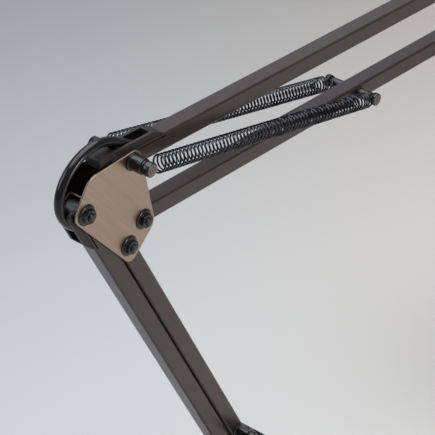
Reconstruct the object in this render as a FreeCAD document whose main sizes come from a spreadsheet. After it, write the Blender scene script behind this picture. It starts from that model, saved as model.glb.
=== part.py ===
import FreeCAD, Part
import math
import os
import re
import Sketcher
from FreeCAD import Placement, Rotation, Vector

# An architect's desk lamp: weighted base, swivelling bracket, two parallelogram arms of square tube,
# an elbow of two plates, balance springs, and a shade on a tilting knuckle.
# Millimetres, +Z up. The origin is the middle of the base's underside. The arms move in the XZ plane,
# the shade is towards +X and the near side of the lamp is -Y.

# Driving dimensions. Each is one cell of the sheet, with its name as the alias.
sizes = {
    # square tube of all four bars
    "barWidth": 12, "barWall": 1, "barCorner": 1.5,
    "lowerArmLength": 400, "lowerArmLean": 116, "upperArmLength": 400, "upperArmDroop": 4.4,
    # pivots: the rear foot is on the base bracket, the others are measured from the rear pivot. The
    # front bar lies a gap away from the rear one, its pivots a step further down the arm
    "rearFootX": -17, "rearFootZ": 110, "barSpace": 1.02636, "frontStep": 51.07998,
    "bottomAhead": 47.6, "bottomDrop": 28.4, "topAhead": 39.7, "topRise": 16.1,
    # stack across a pivot, from the bar outwards
    "washerGap": 0.1, "washerThick": 0.5, "washerRadius": 5.4, "plateThick": 1.4,
    "boltRadius": 2.5, "bushRadius": 4, "runningFit": 0.05, "openPivotFit": 0.25, "seatFit": 0.05,
    "flangeRadius": 6.6, "flangeThick": 1, "hexRadius": 4.9, "hexHeight": 3, "boltTip": 1.1,
    "tipRadius": 2.3, "buttonRadius": 4.4, "buttonHeight": 2.2,
    # elbow plate outline, measured from the nearest pivot
    "plateTopRise": 6.1, "plateShoulderAhead": 4.5, "plateTopAhead": 6.7, "plateFrontAhead": 10.3,
    "plateFrontDrop": 7, "plateFootAhead": 1.3, "plateFootDrop": 14.8, "plateHeelBack": 10.4,
    "plateHeelRise": 0.5, "shoulderRound": 10, "topRound": 6.5, "frontRound": 9, "footRound": 6,
    "heelRound": 7,
    # grooved posts that carry the springs
    "postFlange": 5.8, "postFlangeThick": 1.2, "postShank": 5, "postNeck": 3.2, "postHead": 4.5,
    "postNeckInner": 17.2, "postNeckOuter": 19, "postReach": 23.3, "postEdge": 0.6,
    "barPostShank": 3.5, "barPostNeck": 2.6, "barPostHead": 4.3, "barPostNeckInner": 15.9,
    "barPostNeckOuter": 17.7, "barPostReach": 21.1,
    "upperPostReach": 222, "lowerPostDrop": 243, "anchorAhead": 34, "anchorRise": 26,
    # springs
    "springRadius": 5.5, "wireRadius": 0.6, "hookLength": 10.5, "hookGap": 0.3,
    # cable and the hoods that it comes out of
    "cableRadius": 3, "hoodBack": 7.5, "hoodBackTop": 15, "hoodRise": 4, "hoodWidth": 11, "hoodLip": 0.5,
    "hoodTongue": 25, "tongueFloor": 3.5, "tongueRoof": 11,
    "hoodLevel": 20, "hoodLength": 29, "windowWidth": 7, "windowLength": 19.5, "tubeWindowLength": 22.5,
    "slitWidth": 0.8, "slitLength": 31, "slitDrop": 1.6,
    # base
    "baseRadius": 115, "padThick": 1.5, "padInset": 3, "coverTop": 26.5, "coverWall": 1.2,
    "coverRimTop": 10, "coverShoulderIn": 9, "coverShoulderTop": 24, "coverEdgeIn": 2,
    "coverEdgeTop": 19, "weightInset": 11, "weightTop": 21.5, "nutRecessRadius": 17, "nutRecessTop": 11,
    "socketRadius": 12, "socketFlange": 18, "socketFlangeThick": 2, "socketTop": 36,
    "socketTubeRadius": 8, "socketTubeEnd": 5, "socketNutRadius": 14.5, "socketNutThick": 4,
    "inletRadius": 6, "inletLength": 7, "inletFlange": 8,
    # swivel
    "stemRadius": 6, "stemEnd": 12, "stemIntoBlock": 10, "swivelWasherThick": 0.6, "swivelGap": 0.15,
    "blockHalfLength": 13, "blockTop": 55, "blockBoltRadius": 2, "blockBoltOffset": 9.6,
    "blockBoltHeight": 46, "smallHexRadius": 3.9, "smallHexHeight": 2.8,
    # base bracket outline
    "bracketToeLength": 15, "bracketToe": 38, "bracketBack": 12, "bracketTopRise": 9,
    "bracketTopAhead": 8, "bracketNoseAhead": 10, "bracketNoseTop": 9, "bracketNoseDrop": 8,
    "bracketHeelDrop": 12, "bracketRound": 7,
    # head bracket, measured from the bottom pivot at the head
    "tiltAhead": 60, "tiltRise": 10, "headPlateTop": 9, "headPlateBack": 9, "headPlateDrop": 9,
    "headPlateNose": 9, "headRound": 8, "tiltBoltRadius": 3, "tiltHeadRadius": 5.5, "tiltHeadHeight": 4,
    "knobRadius": 10, "knobLength": 9, "knobHub": 6.5, "knobGap": 0.4, "knobLobes": 6, "lobeRadius": 3.2,
    # head
    "knuckleGap": 0.15, "knuckleHalf": 8, "knuckleRound": 7.8, "shadeAhead": 43, "capRadius": 25,
    "capWall": 1.2, "capRise": 12, "capDrop": 48, "capEdge": 6, "ventCount": 10, "ventWidth": 2.4,
    "ventTop": 4, "ventHeight": 18, "switchStem": 3.4, "switchFit": 0.2, "switchKnob": 8,
    "switchKnobHeight": 10, "switchGap": 0.4, "switchBody": 9, "switchBodyHeight": 13,
    "shadeWall": 1, "neckLip": 1, "shadeFlangeBore": 19.3, "shadeHeight": 117, "shadeMouth": 80,
    "shadeShoulder": 40, "shadeShoulderDrop": 8, "shadeWaist": 58, "shadeWaistDrop": 32,
    "shadeSkirt": 71, "shadeSkirtDrop": 64, "shadeHem": 77.5, "shadeHemDrop": 94,
    "holderRadius": 19, "holderBore": 14.6, "holderTop": 20, "holderRoof": 4, "holderDrop": 72,
    "ringRadius": 23.5, "ringHeight": 4, "bulbBaseRadius": 13.4, "bulbBaseTop": 26,
    "bulbNeckRadius": 14, "bulbNeckDrop": 54, "bulbConeDrop": 74, "bulbRadius": 30, "bulbDrop": 106,
    "glassWall": 1.2,
}

# Where the pivots are: worked out from the sizes, in the sheet's own names.
places = {
    "plateInner": "barWidth / 2 + washerGap + washerThick",
    "plateOuter": "barWidth / 2 + washerGap + washerThick + plateThick",
    "frontAhead": "(barWidth + barSpace) * sin(lowerArmLean * 1 deg) - frontStep * cos(lowerArmLean * 1 deg)",
    "frontDrop": "frontStep * sin(lowerArmLean * 1 deg) + (barWidth + barSpace) * cos(lowerArmLean * 1 deg)",
    "elbowX": "rearFootX + lowerArmLength * cos(lowerArmLean * 1 deg)",
    "elbowZ": "rearFootZ + lowerArmLength * sin(lowerArmLean * 1 deg)",
    "frontFootX": "rearFootX + frontAhead",
    "frontFootZ": "rearFootZ - frontDrop",
    "frontElbowX": "elbowX + frontAhead",
    "frontElbowZ": "elbowZ - frontDrop",
    "bottomX": "elbowX + bottomAhead",
    "bottomZ": "elbowZ - bottomDrop",
    "topX": "elbowX + topAhead",
    "topZ": "elbowZ + topRise",
    "headBottomX": "bottomX + upperArmLength * cos(upperArmDroop * 1 deg)",
    "headBottomZ": "bottomZ - upperArmLength * sin(upperArmDroop * 1 deg)",
    "headTopX": "topX + upperArmLength * cos(upperArmDroop * 1 deg)",
    "headTopZ": "topZ - upperArmLength * sin(upperArmDroop * 1 deg)",
    "upperPostX": "bottomX + upperPostReach * cos(upperArmDroop * 1 deg)",
    "upperPostZ": "bottomZ - upperPostReach * sin(upperArmDroop * 1 deg)",
    "lowerPostX": "frontElbowX - lowerPostDrop * cos(lowerArmLean * 1 deg)",
    "lowerPostZ": "frontElbowZ - lowerPostDrop * sin(lowerArmLean * 1 deg)",
    "anchorX": "frontFootX + anchorAhead",
    "anchorZ": "frontFootZ + anchorRise",
    "tiltX": "headBottomX + tiltAhead",
    "tiltZ": "headBottomZ + tiltRise",
    "shadeX": "tiltX + shadeAhead",
    "capTop": "tiltZ + capRise",
    "capBottom": "tiltZ - capDrop",
    "shadeNeck": "capRadius + neckLip",
    "bulbZ": "tiltZ - bulbDrop",
}

doc = FreeCAD.newDocument("ArchitectLamp")
sheet = doc.addObject("Spreadsheet::Sheet", "Sizes")
layout = doc.addObject("App::VarSet", "Layout")
nodes = []


def expression(text):
    """Turn the plain names of a formula into the sheet's and the layout's."""
    def owner(match):
        word = match.group(0)
        if word in sizes:
            return "Sizes." + word
        return "Layout." + word if word in places else word
    return re.sub(r"[A-Za-z]+", owner, str(text))


def fillSheet():
    for row, (name, value) in enumerate(sizes.items(), start=1):
        sheet.set("A%d" % row, name)
        sheet.set("B%d" % row, str(value))
        sheet.setAlias("B%d" % row, name)
    doc.recompute()
    for name, formula in places.items():
        layout.addProperty("App::PropertyFloat", name)
        layout.setExpression(name, expression(formula))
    doc.recompute()


def size(name):
    return float(getattr(sheet, name)) if name in sizes else float(getattr(layout, name))


def bind(piece, **formulas):
    for name, formula in formulas.items():
        piece.setExpression(name.replace("_", "."), expression(formula))


def place(piece, x=0, y=0, z=0, axis=(0, 0, 1), angle=0):
    """Put a piece at a point given as formulas, turned about an axis by an angle or a formula."""
    fixedAngle = 0 if isinstance(angle, str) else angle
    piece.Placement = Placement(Vector(0, 0, 0), Rotation(Vector(*axis), fixedAngle))
    bind(piece, Placement_Base_x=x, Placement_Base_y=y, Placement_Base_z=z)
    if isinstance(angle, str):
        piece.Placement = Placement(Vector(0, 0, 0), Rotation(Vector(*axis), 10))
        bind(piece, Placement_Rotation_Angle=angle)
    return piece


def node(name, piece):
    piece.Label = name
    nodes.append(piece)
    return piece


def group(name, pieces):
    bundle = doc.addObject("Part::Compound", "Group")
    bundle.Links = pieces
    return node(name, bundle)


def box(x, y, z, length, width, height):
    piece = doc.addObject("Part::Box", "Block")
    bind(piece, Length=length, Width=width, Height=height)
    return place(piece, x, y, z)


def fuse(pieces):
    joined = doc.addObject("Part::MultiFuse", "Joined")
    joined.Shapes = pieces
    joined.Refine = True
    return joined


def cut(base, tools):
    result = doc.addObject("Part::Cut", "Shaped")
    result.Base = base
    result.Tool = tools[0] if len(tools) == 1 else fuse(tools)
    return result


def turned(steps):
    """A turned piece that grows along its own Z. A step is (radius, radius at its far end, length)."""
    pieces = []
    start = "0"
    for first, last, length in steps:
        if first == last:
            piece = doc.addObject("Part::Cylinder", "Step")
            bind(piece, Radius=first, Height=length)
        else:
            piece = doc.addObject("Part::Cone", "Step")
            bind(piece, Radius1=first, Radius2=last, Height=length)
        pieces.append(place(piece, z=start))
        start = "%s + %s" % (start, length)
    return pieces[0] if len(pieces) == 1 else fuse(pieces)


def across(piece, x, y, z, side=-1):
    """Lay a turned piece across the arm: side -1 grows towards the near side, 1 towards the far side."""
    return place(piece, x, y, z, axis=(1, 0, 0), angle=-90 * side)


def prismAcross(hexRadius, height, bore=None):
    """A hexagon with an optional hole, along its own Z."""
    prism = doc.addObject("Part::Prism", "Hexagon")
    prism.Polygon = 6
    bind(prism, Circumradius=hexRadius, Height=height)
    return prism if bore is None else cut(prism, [turned([(bore, bore, height)])])


def outlineSketch(body, name, points, circles=()):
    """A closed outline in the body's XZ plane, every corner dimensioned from the origin."""
    sketch = body.newObject("Sketcher::SketchObject", name)
    plane = [f for f in body.Origin.OriginFeatures if f.Role == "XZ_Plane"][0]
    sketch.AttachmentSupport = [(plane, "")]
    sketch.MapMode = "FlatFace"
    corners = [Vector(evaluate(x), evaluate(y), 0) for x, y in points]
    count = len(corners)
    for i in range(count):
        sketch.addGeometry(Part.LineSegment(corners[i], corners[(i + 1) % count]), False)
    for i in range(count):
        sketch.addConstraint(Sketcher.Constraint("Coincident", i, 2, (i + 1) % count, 1))
    for i, (x, y) in enumerate(points):
        if str(x) == "0":
            sketch.addConstraint(Sketcher.Constraint("PointOnObject", i, 1, -2))
        else:
            dimension(sketch, "DistanceX", (-1, 1, i, 1), x)
        dimension(sketch, "DistanceY", (-1, 1, i, 1), y)
    for i, (x, y, radius) in enumerate(circles, start=count):
        centre = Vector(evaluate(x), evaluate(y), 0)
        sketch.addGeometry(Part.Circle(centre, Vector(0, 0, 1), evaluate(radius)), False)
        dimension(sketch, "DistanceX", (-1, 1, i, 3), x)
        dimension(sketch, "DistanceY", (-1, 1, i, 3), y)
        dimension(sketch, "Radius", (i,), radius)
    return sketch


def dimension(sketch, kind, ends, formula):
    index = sketch.addConstraint(Sketcher.Constraint(kind, *ends, evaluate(formula)))
    sketch.setExpression("Constraints[%d]" % index, expression(formula))


def evaluate(formula):
    """The present value of a formula, for a sketch's first drawing."""
    names = {name: size(name) for name in re.findall(r"[A-Za-z]+", str(formula))
             if name in sizes or name in places}
    total = doc.getObject("Scratch") or doc.addObject("App::VarSet", "Scratch")
    if "value" not in total.PropertiesList:
        total.addProperty("App::PropertyFloat", "value")
    if not names:
        return float(formula)
    return float(total.evalExpression(expression(formula)))


def plate(name, points, circles, rounds, thickness):
    """A flat plate in the XZ plane, its thickness towards the near side, with rounded corners."""
    body = doc.addObject("PartDesign::Body", name)
    sketch = outlineSketch(body, name + "Outline", points, circles)
    pad = body.newObject("PartDesign::Pad", name + "Pad")
    pad.Profile = sketch
    bind(pad, Length=thickness)
    body.Tip = pad
    doc.recompute()
    last = pad
    for (x, z), radius in zip(points, rounds):
        if radius is None:
            continue
        corner = Vector(evaluate(x), 0, evaluate(z))
        last = roundCorner(body, last, corner, radius)
    return body


def roundCorner(body, last, corner, radius):
    """Fillet the upright edge that stands at a corner of the outline."""
    def away(index):
        middle = last.Shape.Edges[index].BoundBox.Center
        edge = last.Shape.Edges[index]
        upright = abs(edge.BoundBox.XLength) + abs(edge.BoundBox.ZLength) < 1e-6
        return math.hypot(middle.x - corner.x, middle.z - corner.z) if upright else 1e9
    nearest = min(range(len(last.Shape.Edges)), key=away)
    fillet = body.newObject("PartDesign::Fillet", "Corner")
    fillet.Base = (last, ["Edge%d" % (nearest + 1)])
    bind(fillet, Radius=radius)
    body.Tip = fillet
    doc.recompute()
    return fillet


def revolved(name, points):
    """A body of revolution about its own Z, from a closed outline of (radius, height)."""
    body = doc.addObject("PartDesign::Body", name)
    sketch = outlineSketch(body, name + "Profile", points)
    turn = body.newObject("PartDesign::Revolution", name + "Turn")
    turn.Profile = sketch
    turn.ReferenceAxis = (sketch, ["V_Axis"])
    turn.Angle = 360
    body.Tip = turn
    return body


def feature(name, shape, where=None):
    """A piece whose shape comes from Part's own functions."""
    piece = doc.addObject("Part::Feature", name)
    piece.Shape = shape
    if where is not None:
        piece.Placement = where
    return node(name, piece)


def bar(name, x, z, angle, hoodAt=None, postAt=None):
    """A square tube between two pivots, its ends rounded about them, or square where a hood sits."""
    length = "lowerArmLength" if name.startswith("lower") else "upperArmLength"
    half = "barWidth / 2"
    back = {"start": "hoodBackTop", "end": "0", None: "0"}[hoodAt]
    front = {"start": "0", "end": "hoodBack", None: "0"}[hoodAt]
    outer = box("-(%s)" % back, "-" + half, "-" + half, "%s + %s + %s" % (length, back, front),
                "barWidth", "barWidth")
    doc.recompute()
    rounded = doc.addObject("Part::Fillet", "Rounded")
    rounded.Base = outer
    longEdges = [i for i, e in enumerate(outer.Shape.Edges, start=1) if e.BoundBox.XLength > size("barWidth") * 2]
    rounded.Edges = [(i, size("barCorner"), size("barCorner")) for i in longEdges]
    trims = [rounded]
    for at in [0] * (hoodAt != "start") + [length] * (hoodAt != "end"):
        end = turned([(half, half, "barWidth")])
        trims.append(across(end, at, half, 0))
    inside = "barWidth - 2 * barWall"
    hollow = box("-barWidth * 2", "-(%s) / 2" % inside, "-(%s) / 2" % inside, length + " + barWidth * 4",
                 inside, inside)
    tools = [hollow]
    for at in ["0", length]:
        tools.append(across(turned([("bushRadius", "bushRadius", "barWidth * 2")]), at, "barWidth", 0))
    if postAt:
        hole = turned([("boltRadius + seatFit", "boltRadius + seatFit", "barWidth * 2")])
        tools.append(across(hole, postAt, "barWidth", 0))
    if hoodAt:
        tools += windowCuts(length, hoodAt)
    tube = cut(fuse(trims), tools)
    place(tube, x, 0, z, axis=(0, -1, 0), angle=angle)
    return node(name, tube)


def fromPivot(at, length, inward):
    """A place along a bar, measured inwards from the pivot at its start or its end."""
    return inward if at == "start" else "%s - (%s)" % (length, inward)


def spanBox(at, length, first, last, y, z, width, height):
    """A block along a bar, from first to last, both measured inwards from a pivot."""
    low = first if at == "start" else last
    return box(fromPivot(at, length, low), y, z, "%s - (%s)" % (last, first), width, height)


def windowCuts(length, at):
    """The cable's opening in the tube's outer wall, and the slits beside it."""
    end = "-barWidth * 2"
    tools = [spanBox(at, length, end, "tubeWindowLength", "-windowWidth / 2", "barWidth / 2 - barWall * 2",
                     "windowWidth", "barWall * 4")]
    slitTop = "barWidth / 2 - slitDrop"
    tools.append(spanBox(at, length, end, "slitLength", "-barWidth", slitTop + " - slitWidth",
                         "barWidth * 2", "slitWidth"))
    rounding = turned([("slitWidth / 2", "slitWidth / 2", "barWidth * 2")])
    tools.append(across(rounding, fromPivot(at, length, "slitLength"), "barWidth", slitTop + " - slitWidth / 2"))
    return tools


def hood(name, length, at, x, z, angle):
    """The raised hood at a bar's elbow end, with a window that the cable comes out of."""
    face = "barWidth / 2"
    top = face + " + hoodRise"
    profile = [("hoodLength", face), ("hoodLength", face + " + hoodLip"), ("hoodLevel", top)]
    if at == "start":
        # the top bar's hood has a tongue that reaches back under the cable
        behind = "-(hoodBackTop + hookGap)"
        profile += [("-hoodTongue", top), ("-hoodTongue", "tongueFloor"), (behind, "tongueFloor"),
                    (behind, face)]
        opening = "-tongueRoof"
    else:
        profile += [("-hoodBack", top), ("-hoodBack", face)]
        opening = "-barWidth * 2"
    points = [(fromPivot(at, length, along), up) for along, up in profile]
    rounds = [None] * len(points)
    rounds[3] = "hoodRise / 2"
    saddle = plate(name + "Saddle", points, [], rounds, "hoodWidth")
    place(saddle, y="hoodWidth / 2")
    window = spanBox(at, length, opening, "windowLength", "-windowWidth / 2", face + " - barWall",
                     "windowWidth", "hoodRise + barWall * 2")
    piece = cut(saddle, [window])
    place(piece, x, 0, z, axis=(0, -1, 0), angle=angle)
    return node(name, piece)


def bushes(name, spots):
    """Sleeves pressed into a bar, one at each pivot. A spot is (x, z, fit on the bolt)."""
    pieces = []
    for x, z, fit in spots:
        sleeve = turned([("bushRadius", "bushRadius", "barWidth")])
        bore = turned([("boltRadius + " + fit, "boltRadius + " + fit, "barWidth")])
        pieces.append(across(cut(sleeve, [bore]), x, "barWidth / 2", z))
    return group(name, pieces)


def washers(name, spots):
    """Thin nylon washers between each bar and the plates beside it."""
    pieces = []
    for x, z in spots:
        for y in ["plateInner", "-(barWidth / 2 + washerGap)"]:
            disc = turned([("washerRadius", "washerRadius", "washerThick")])
            bore = turned([("boltRadius + seatFit", "boltRadius + seatFit", "washerThick")])
            pieces.append(across(cut(disc, [bore]), x, y, z))
    return group(name, pieces)


def bolts(name, spots):
    """Shoulder bolts: low button head on the far side, rounded end on the near side."""
    pieces = []
    for x, z in spots:
        whole = turned([("buttonRadius - boltTip", "buttonRadius", "buttonHeight / 2"),
                        ("buttonRadius", "buttonRadius", "buttonHeight / 2"),
                        ("boltRadius", "boltRadius", "2 * plateOuter + flangeThick + hexHeight"),
                        ("boltRadius", "tipRadius", "boltTip")])
        pieces.append(across(whole, x, "plateOuter + buttonHeight", z))
    return group(name, pieces)


def nuts(name, spots):
    """Flanged nuts on the near side."""
    pieces = []
    for x, z in spots:
        flange = turned([("flangeRadius", "flangeRadius", "flangeThick")])
        hexagon = prismAcross("hexRadius", "hexHeight")
        place(hexagon, z="flangeThick")
        bore = turned([("boltRadius + seatFit", "boltRadius + seatFit", "flangeThick + hexHeight")])
        pieces.append(across(cut(fuse([flange, hexagon]), [bore]), x, "-plateOuter", z))
    return group(name, pieces)


def springPosts(name, x, z):
    """Grooved posts on both sides of a bracket, bored to fit on the ends of their axle."""
    pieces = []
    for side in (-1, 1):
        post = turned([("postFlange", "postFlange", "postFlangeThick"),
                       ("postShank", "postShank", "postNeckInner - plateOuter - postFlangeThick"),
                       ("postNeck", "postNeck", "postNeckOuter - postNeckInner"),
                       ("postHead", "postHead", "postReach - postNeckOuter - postEdge"),
                       ("postHead", "postHead - postEdge", "postEdge")])
        bore = turned([("boltRadius + seatFit", "boltRadius + seatFit", "postNeckInner - plateOuter")])
        pieces.append(across(cut(post, [bore]), x, "%d * plateOuter" % side, z, side))
    return group(name, pieces)


def axle(name, x, z):
    """The plain pin that joins a pair of spring posts."""
    length = "2 * postNeckInner - 2 * barWall"
    pin = turned([("boltRadius", "boltRadius", length)])
    return node(name, across(pin, x, "postNeckInner - barWall", z))


def barPost(name, x, z):
    """A grooved cross pin through a bar, for the springs' other ends."""
    head = ("barPostHead", "barPostHead", "barPostReach - barPostNeckOuter - postEdge")
    neck = ("barPostNeck", "barPostNeck", "barPostNeckOuter - barPostNeckInner")
    shank = ("barPostShank", "barPostShank", "barPostNeckInner - barWidth / 2")
    steps = [("barPostHead - postEdge", "barPostHead", "postEdge"), head, neck, shank,
             ("boltRadius", "boltRadius", "barWidth"), shank, neck, head,
             ("barPostHead", "barPostHead - postEdge", "postEdge")]
    return node(name, across(turned(steps), x, "barPostReach", z))


def spring(name, first, last, firstNeck, lastNeck):
    """A coil spring as a tube of its outer size, with an eye at each end round a post's neck."""
    run = last - first
    length = run.Length
    hook = size("hookLength")
    coil = Part.makeCylinder(size("springRadius"), length - 2 * hook, Vector(hook, 0, 0), Vector(1, 0, 0))
    inside = size("springRadius") - 2 * size("wireRadius")
    coil = coil.cut(Part.makeCylinder(inside, length, Vector(0, 0, 0), Vector(1, 0, 0)))
    shape = coil
    wire = size("wireRadius")
    turn = Rotation(Vector(1, 0, 0), run)
    for at, way, neck in ((0, 1, firstNeck), (length, -1, lastNeck)):
        eye = size(neck) + size("hookGap") + wire
        # the eye lies flat round the post, whatever the spring's own slant
        upright = turn.inverted().multVec(Vector(0, 1, 0))
        ring = Part.makeTorus(eye, wire, Vector(at, 0, 0), upright)
        leg = Part.makeCylinder(wire, hook - eye + wire, Vector(at + way * eye, 0, 0), Vector(way, 0, 0))
        reach = size("springRadius") - wire
        tie = Part.makeCylinder(wire, reach, Vector(at + way * (hook + wire / 2), 0, 0), Vector(0, 0, 1))
        shape = shape.fuse([ring, leg, tie])
    return feature(name, shape.removeSplitter(), Placement(first, turn))


def cableRoute():
    """Points of the cable's loop round the elbow, from inside the top bar to inside the rear bar."""
    return [(-118, 0, 481.6), (-133, 0, 483.6), (-147.5, 0, 491.5), (-160.5, 0, 500.5), (-173, 0, 504.6),
            (-185.5, 0, 503.2), (-196, 0, 498), (-203.2, 0, 489.8), (-206, 0, 480), (-204.4, 0, 471),
            (-199, 0, 463), (-190, 0, 455.6), (-181.5, 0, 446), (-176.5, 0, 436.2)]


def cable(name, route, radius):
    """A round cable along straight runs joined by tangent arcs, each as large as its runs allow."""
    points = [Vector(*p) for p in route]
    edges = []
    start = points[0]
    radii = []
    for before, corner, after in zip(points, points[1:], points[2:]):
        into = (corner - before).normalize()
        out = (after - corner).normalize()
        half = into.getAngle(out) / 2
        reach = 0.45 * min((corner - before).Length, (after - corner).Length)
        radii.append(reach / math.tan(half))
        begin = corner - into * reach
        end = corner + out * reach
        centreWay = (out - into).normalize()
        middle = corner + centreWay * (radii[-1] / math.cos(half) - radii[-1])
        edges += [Part.LineSegment(start, begin).toShape(), Part.Arc(begin, middle, end).toShape()]
        start = end
    edges.append(Part.LineSegment(start, points[-1]).toShape())
    path = Part.Wire(edges)
    ring = Part.Wire([Part.Circle(points[0], points[1] - points[0], radius).toShape()])
    shape = Part.makeSolid(path.makePipeShell([ring], True, False))
    expected = math.pi * radius ** 2 * path.Length
    print(name, "length %.1f" % path.Length, "radii", [round(r, 1) for r in radii],
          "volume ratio %.4f" % (shape.Volume / expected))
    return feature(name, shape)


def makeBase():
    node("base_pad", turned([("baseRadius - padInset", "baseRadius - padInset", "padThick")]))
    weightHeight = "weightTop - padThick"
    weight = turned([("baseRadius - weightInset", "baseRadius - weightInset", weightHeight)])
    recess = turned([("nutRecessRadius", "nutRecessRadius", "nutRecessTop - padThick"),
                     ("socketTubeRadius + seatFit", "socketTubeRadius + seatFit", "weightTop - nutRecessTop")])
    piece = cut(weight, [recess])
    node("base_weight", place(piece, z="padThick"))
    bore = "socketTubeRadius + seatFit"
    inner = "baseRadius - coverWall"
    cover = revolved("BaseCover", [
        (bore, "coverTop"), ("baseRadius - coverShoulderIn", "coverShoulderTop"),
        ("baseRadius - coverEdgeIn", "coverEdgeTop"), ("baseRadius", "coverRimTop"),
        ("baseRadius", "padThick"), (inner, "padThick"), (inner, "coverRimTop"),
        (inner + " - coverEdgeIn", "coverEdgeTop - coverWall"),
        (inner + " - coverShoulderIn", "coverShoulderTop - coverWall"), (bore, "coverTop - coverWall")])
    # the mains inlet goes through the rear of the rim
    hole = turned([("inletRadius", "inletRadius", "inletLength * 2")])
    place(hole, "-baseRadius - inletLength", 0, "padThick + inletFlange", axis=(0, 1, 0), angle=90)
    node("base_cover", cut(cover, [hole]))
    socket = turned([("socketTubeRadius", "socketTubeRadius", "coverTop - socketTubeEnd"),
                     ("socketFlange", "socketFlange", "socketFlangeThick"),
                     ("socketRadius", "socketRadius", "socketTop - coverTop - socketFlangeThick")])
    bore = turned([("stemRadius + runningFit", "stemRadius + runningFit", "socketTop - socketTubeEnd")])
    node("base_socket", place(cut(socket, [bore]), z="socketTubeEnd"))
    nut = prismAcross("socketNutRadius", "socketNutThick", "socketTubeRadius + seatFit")
    node("base_socket_nut", place(nut, z="nutRecessTop - socketNutThick"))
    inlet = turned([("inletRadius", "inletRadius", "coverWall * 2"),
                    ("inletFlange - 1", "inletFlange - 2.5", "inletLength - coverWall * 2")])
    bore = turned([("cableRadius", "cableRadius", "inletLength")])
    piece = cut(inlet, [bore])
    place(piece, "-baseRadius + coverWall * 2", 0, "padThick + inletFlange", axis=(0, 1, 0), angle=-90)
    node("base_cable_inlet", piece)


def makeSwivel():
    bottom = "socketTop + swivelGap + swivelWasherThick"
    disc = turned([("socketRadius", "socketRadius", "swivelWasherThick")])
    bore = turned([("stemRadius + seatFit", "stemRadius + seatFit", "swivelWasherThick")])
    node("swivel_washer", place(cut(disc, [bore]), z="socketTop + swivelGap"))
    stem = turned([("stemRadius - barWall", "stemRadius", "barWall"),
                   ("stemRadius", "stemRadius", bottom + " + stemIntoBlock - stemEnd - barWall")])
    node("swivel_stem", place(stem, z="stemEnd"))
    block = box("-blockHalfLength", "-plateInner", bottom, "2 * blockHalfLength", "2 * plateInner",
                "blockTop - (%s)" % bottom)
    tools = [place(turned([("stemRadius + seatFit", "stemRadius + seatFit", "stemIntoBlock")]), z=bottom)]
    holes = [("-blockBoltOffset", "blockBoltHeight"), ("blockBoltOffset", "blockBoltHeight")]
    for x, z in holes:
        hole = turned([("blockBoltRadius + seatFit", "blockBoltRadius + seatFit", "4 * plateInner")])
        tools.append(across(hole, x, "2 * plateInner", z))
    node("swivel_block", cut(block, tools))
    makeBracketPlates(holes)
    makeBlockBolts(holes)
    feet = [("rearFootX", "rearFootZ"), ("frontFootX", "frontFootZ")]
    bolts("base_pivot_bolts", feet)
    nuts("base_pivot_nuts", feet)
    washers("base_pivot_washers", feet)
    springPosts("base_spring_posts", "anchorX", "anchorZ")
    axle("base_spring_axle", "anchorX", "anchorZ")


def makeBracketPlates(holes):
    points = [("-bracketToeLength", "bracketToe"), ("bracketToeLength", "bracketToe"),
              ("anchorX + bracketNoseAhead", "anchorZ - bracketNoseDrop"),
              ("anchorX + bracketNoseAhead", "anchorZ + bracketNoseTop"),
              ("rearFootX + bracketTopAhead", "rearFootZ + bracketTopRise"),
              ("rearFootX - bracketBack", "rearFootZ + bracketTopRise"),
              ("rearFootX - bracketBack", "rearFootZ - bracketHeelDrop")]
    fit = "boltRadius + seatFit"
    circles = [("rearFootX", "rearFootZ", fit), ("frontFootX", "frontFootZ", fit),
               ("anchorX", "anchorZ", fit)]
    circles += [(x, z, "blockBoltRadius + seatFit") for x, z in holes]
    rounds = ["bracketRound / 2", "bracketRound", "bracketRound", "bracketRound", "bracketRound",
              "bracketRound", "bracketRound"]
    for name, y in (("base_bracket_near", "-plateInner"), ("base_bracket_far", "plateOuter")):
        piece = plate(name.replace("_", "").title(), points, circles, rounds, "plateThick")
        node(name, place(piece, y=y))


def makeBlockBolts(holes):
    heads = []
    caps = []
    for x, z in holes:
        head = prismAcross("smallHexRadius", "smallHexHeight")
        shank = turned([("blockBoltRadius", "blockBoltRadius", "2 * plateOuter + 2 * smallHexHeight")])
        whole = fuse([head, place(shank, z="smallHexHeight")])
        heads.append(across(whole, x, "plateOuter + smallHexHeight", z))
        nut = prismAcross("smallHexRadius", "smallHexHeight", "blockBoltRadius + seatFit")
        caps.append(across(nut, x, "-plateOuter", z))
    group("bracket_bolts", heads)
    group("bracket_nuts", caps)


def makeLowerArm():
    foot = ("rearFootX", "rearFootZ", "lowerArmLean")
    bar("lower_rear_bar", *foot, hoodAt="end")
    hood("lower_cable_hood", "lowerArmLength", "end", *foot)
    bar("lower_front_bar", "frontFootX", "frontFootZ", "lowerArmLean", postAt="lowerArmLength - lowerPostDrop")
    bushes("lower_rear_bushes", [("rearFootX", "rearFootZ", "runningFit"), ("elbowX", "elbowZ", "runningFit")])
    bushes("lower_front_bushes", [("frontFootX", "frontFootZ", "runningFit"),
                                  ("frontElbowX", "frontElbowZ", "openPivotFit")])
    barPost("lower_spring_post", "lowerPostX", "lowerPostZ")
    for name, side in (("lower_spring_near", -1), ("lower_spring_far", 1)):
        post = side * (size("barPostNeckInner") + size("barPostNeckOuter")) / 2
        anchor = side * (size("postNeckInner") + size("postNeckOuter")) / 2
        spring(name, Vector(size("anchorX"), anchor, size("anchorZ")),
               Vector(size("lowerPostX"), post, size("lowerPostZ")), "postNeck", "barPostNeck")


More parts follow.
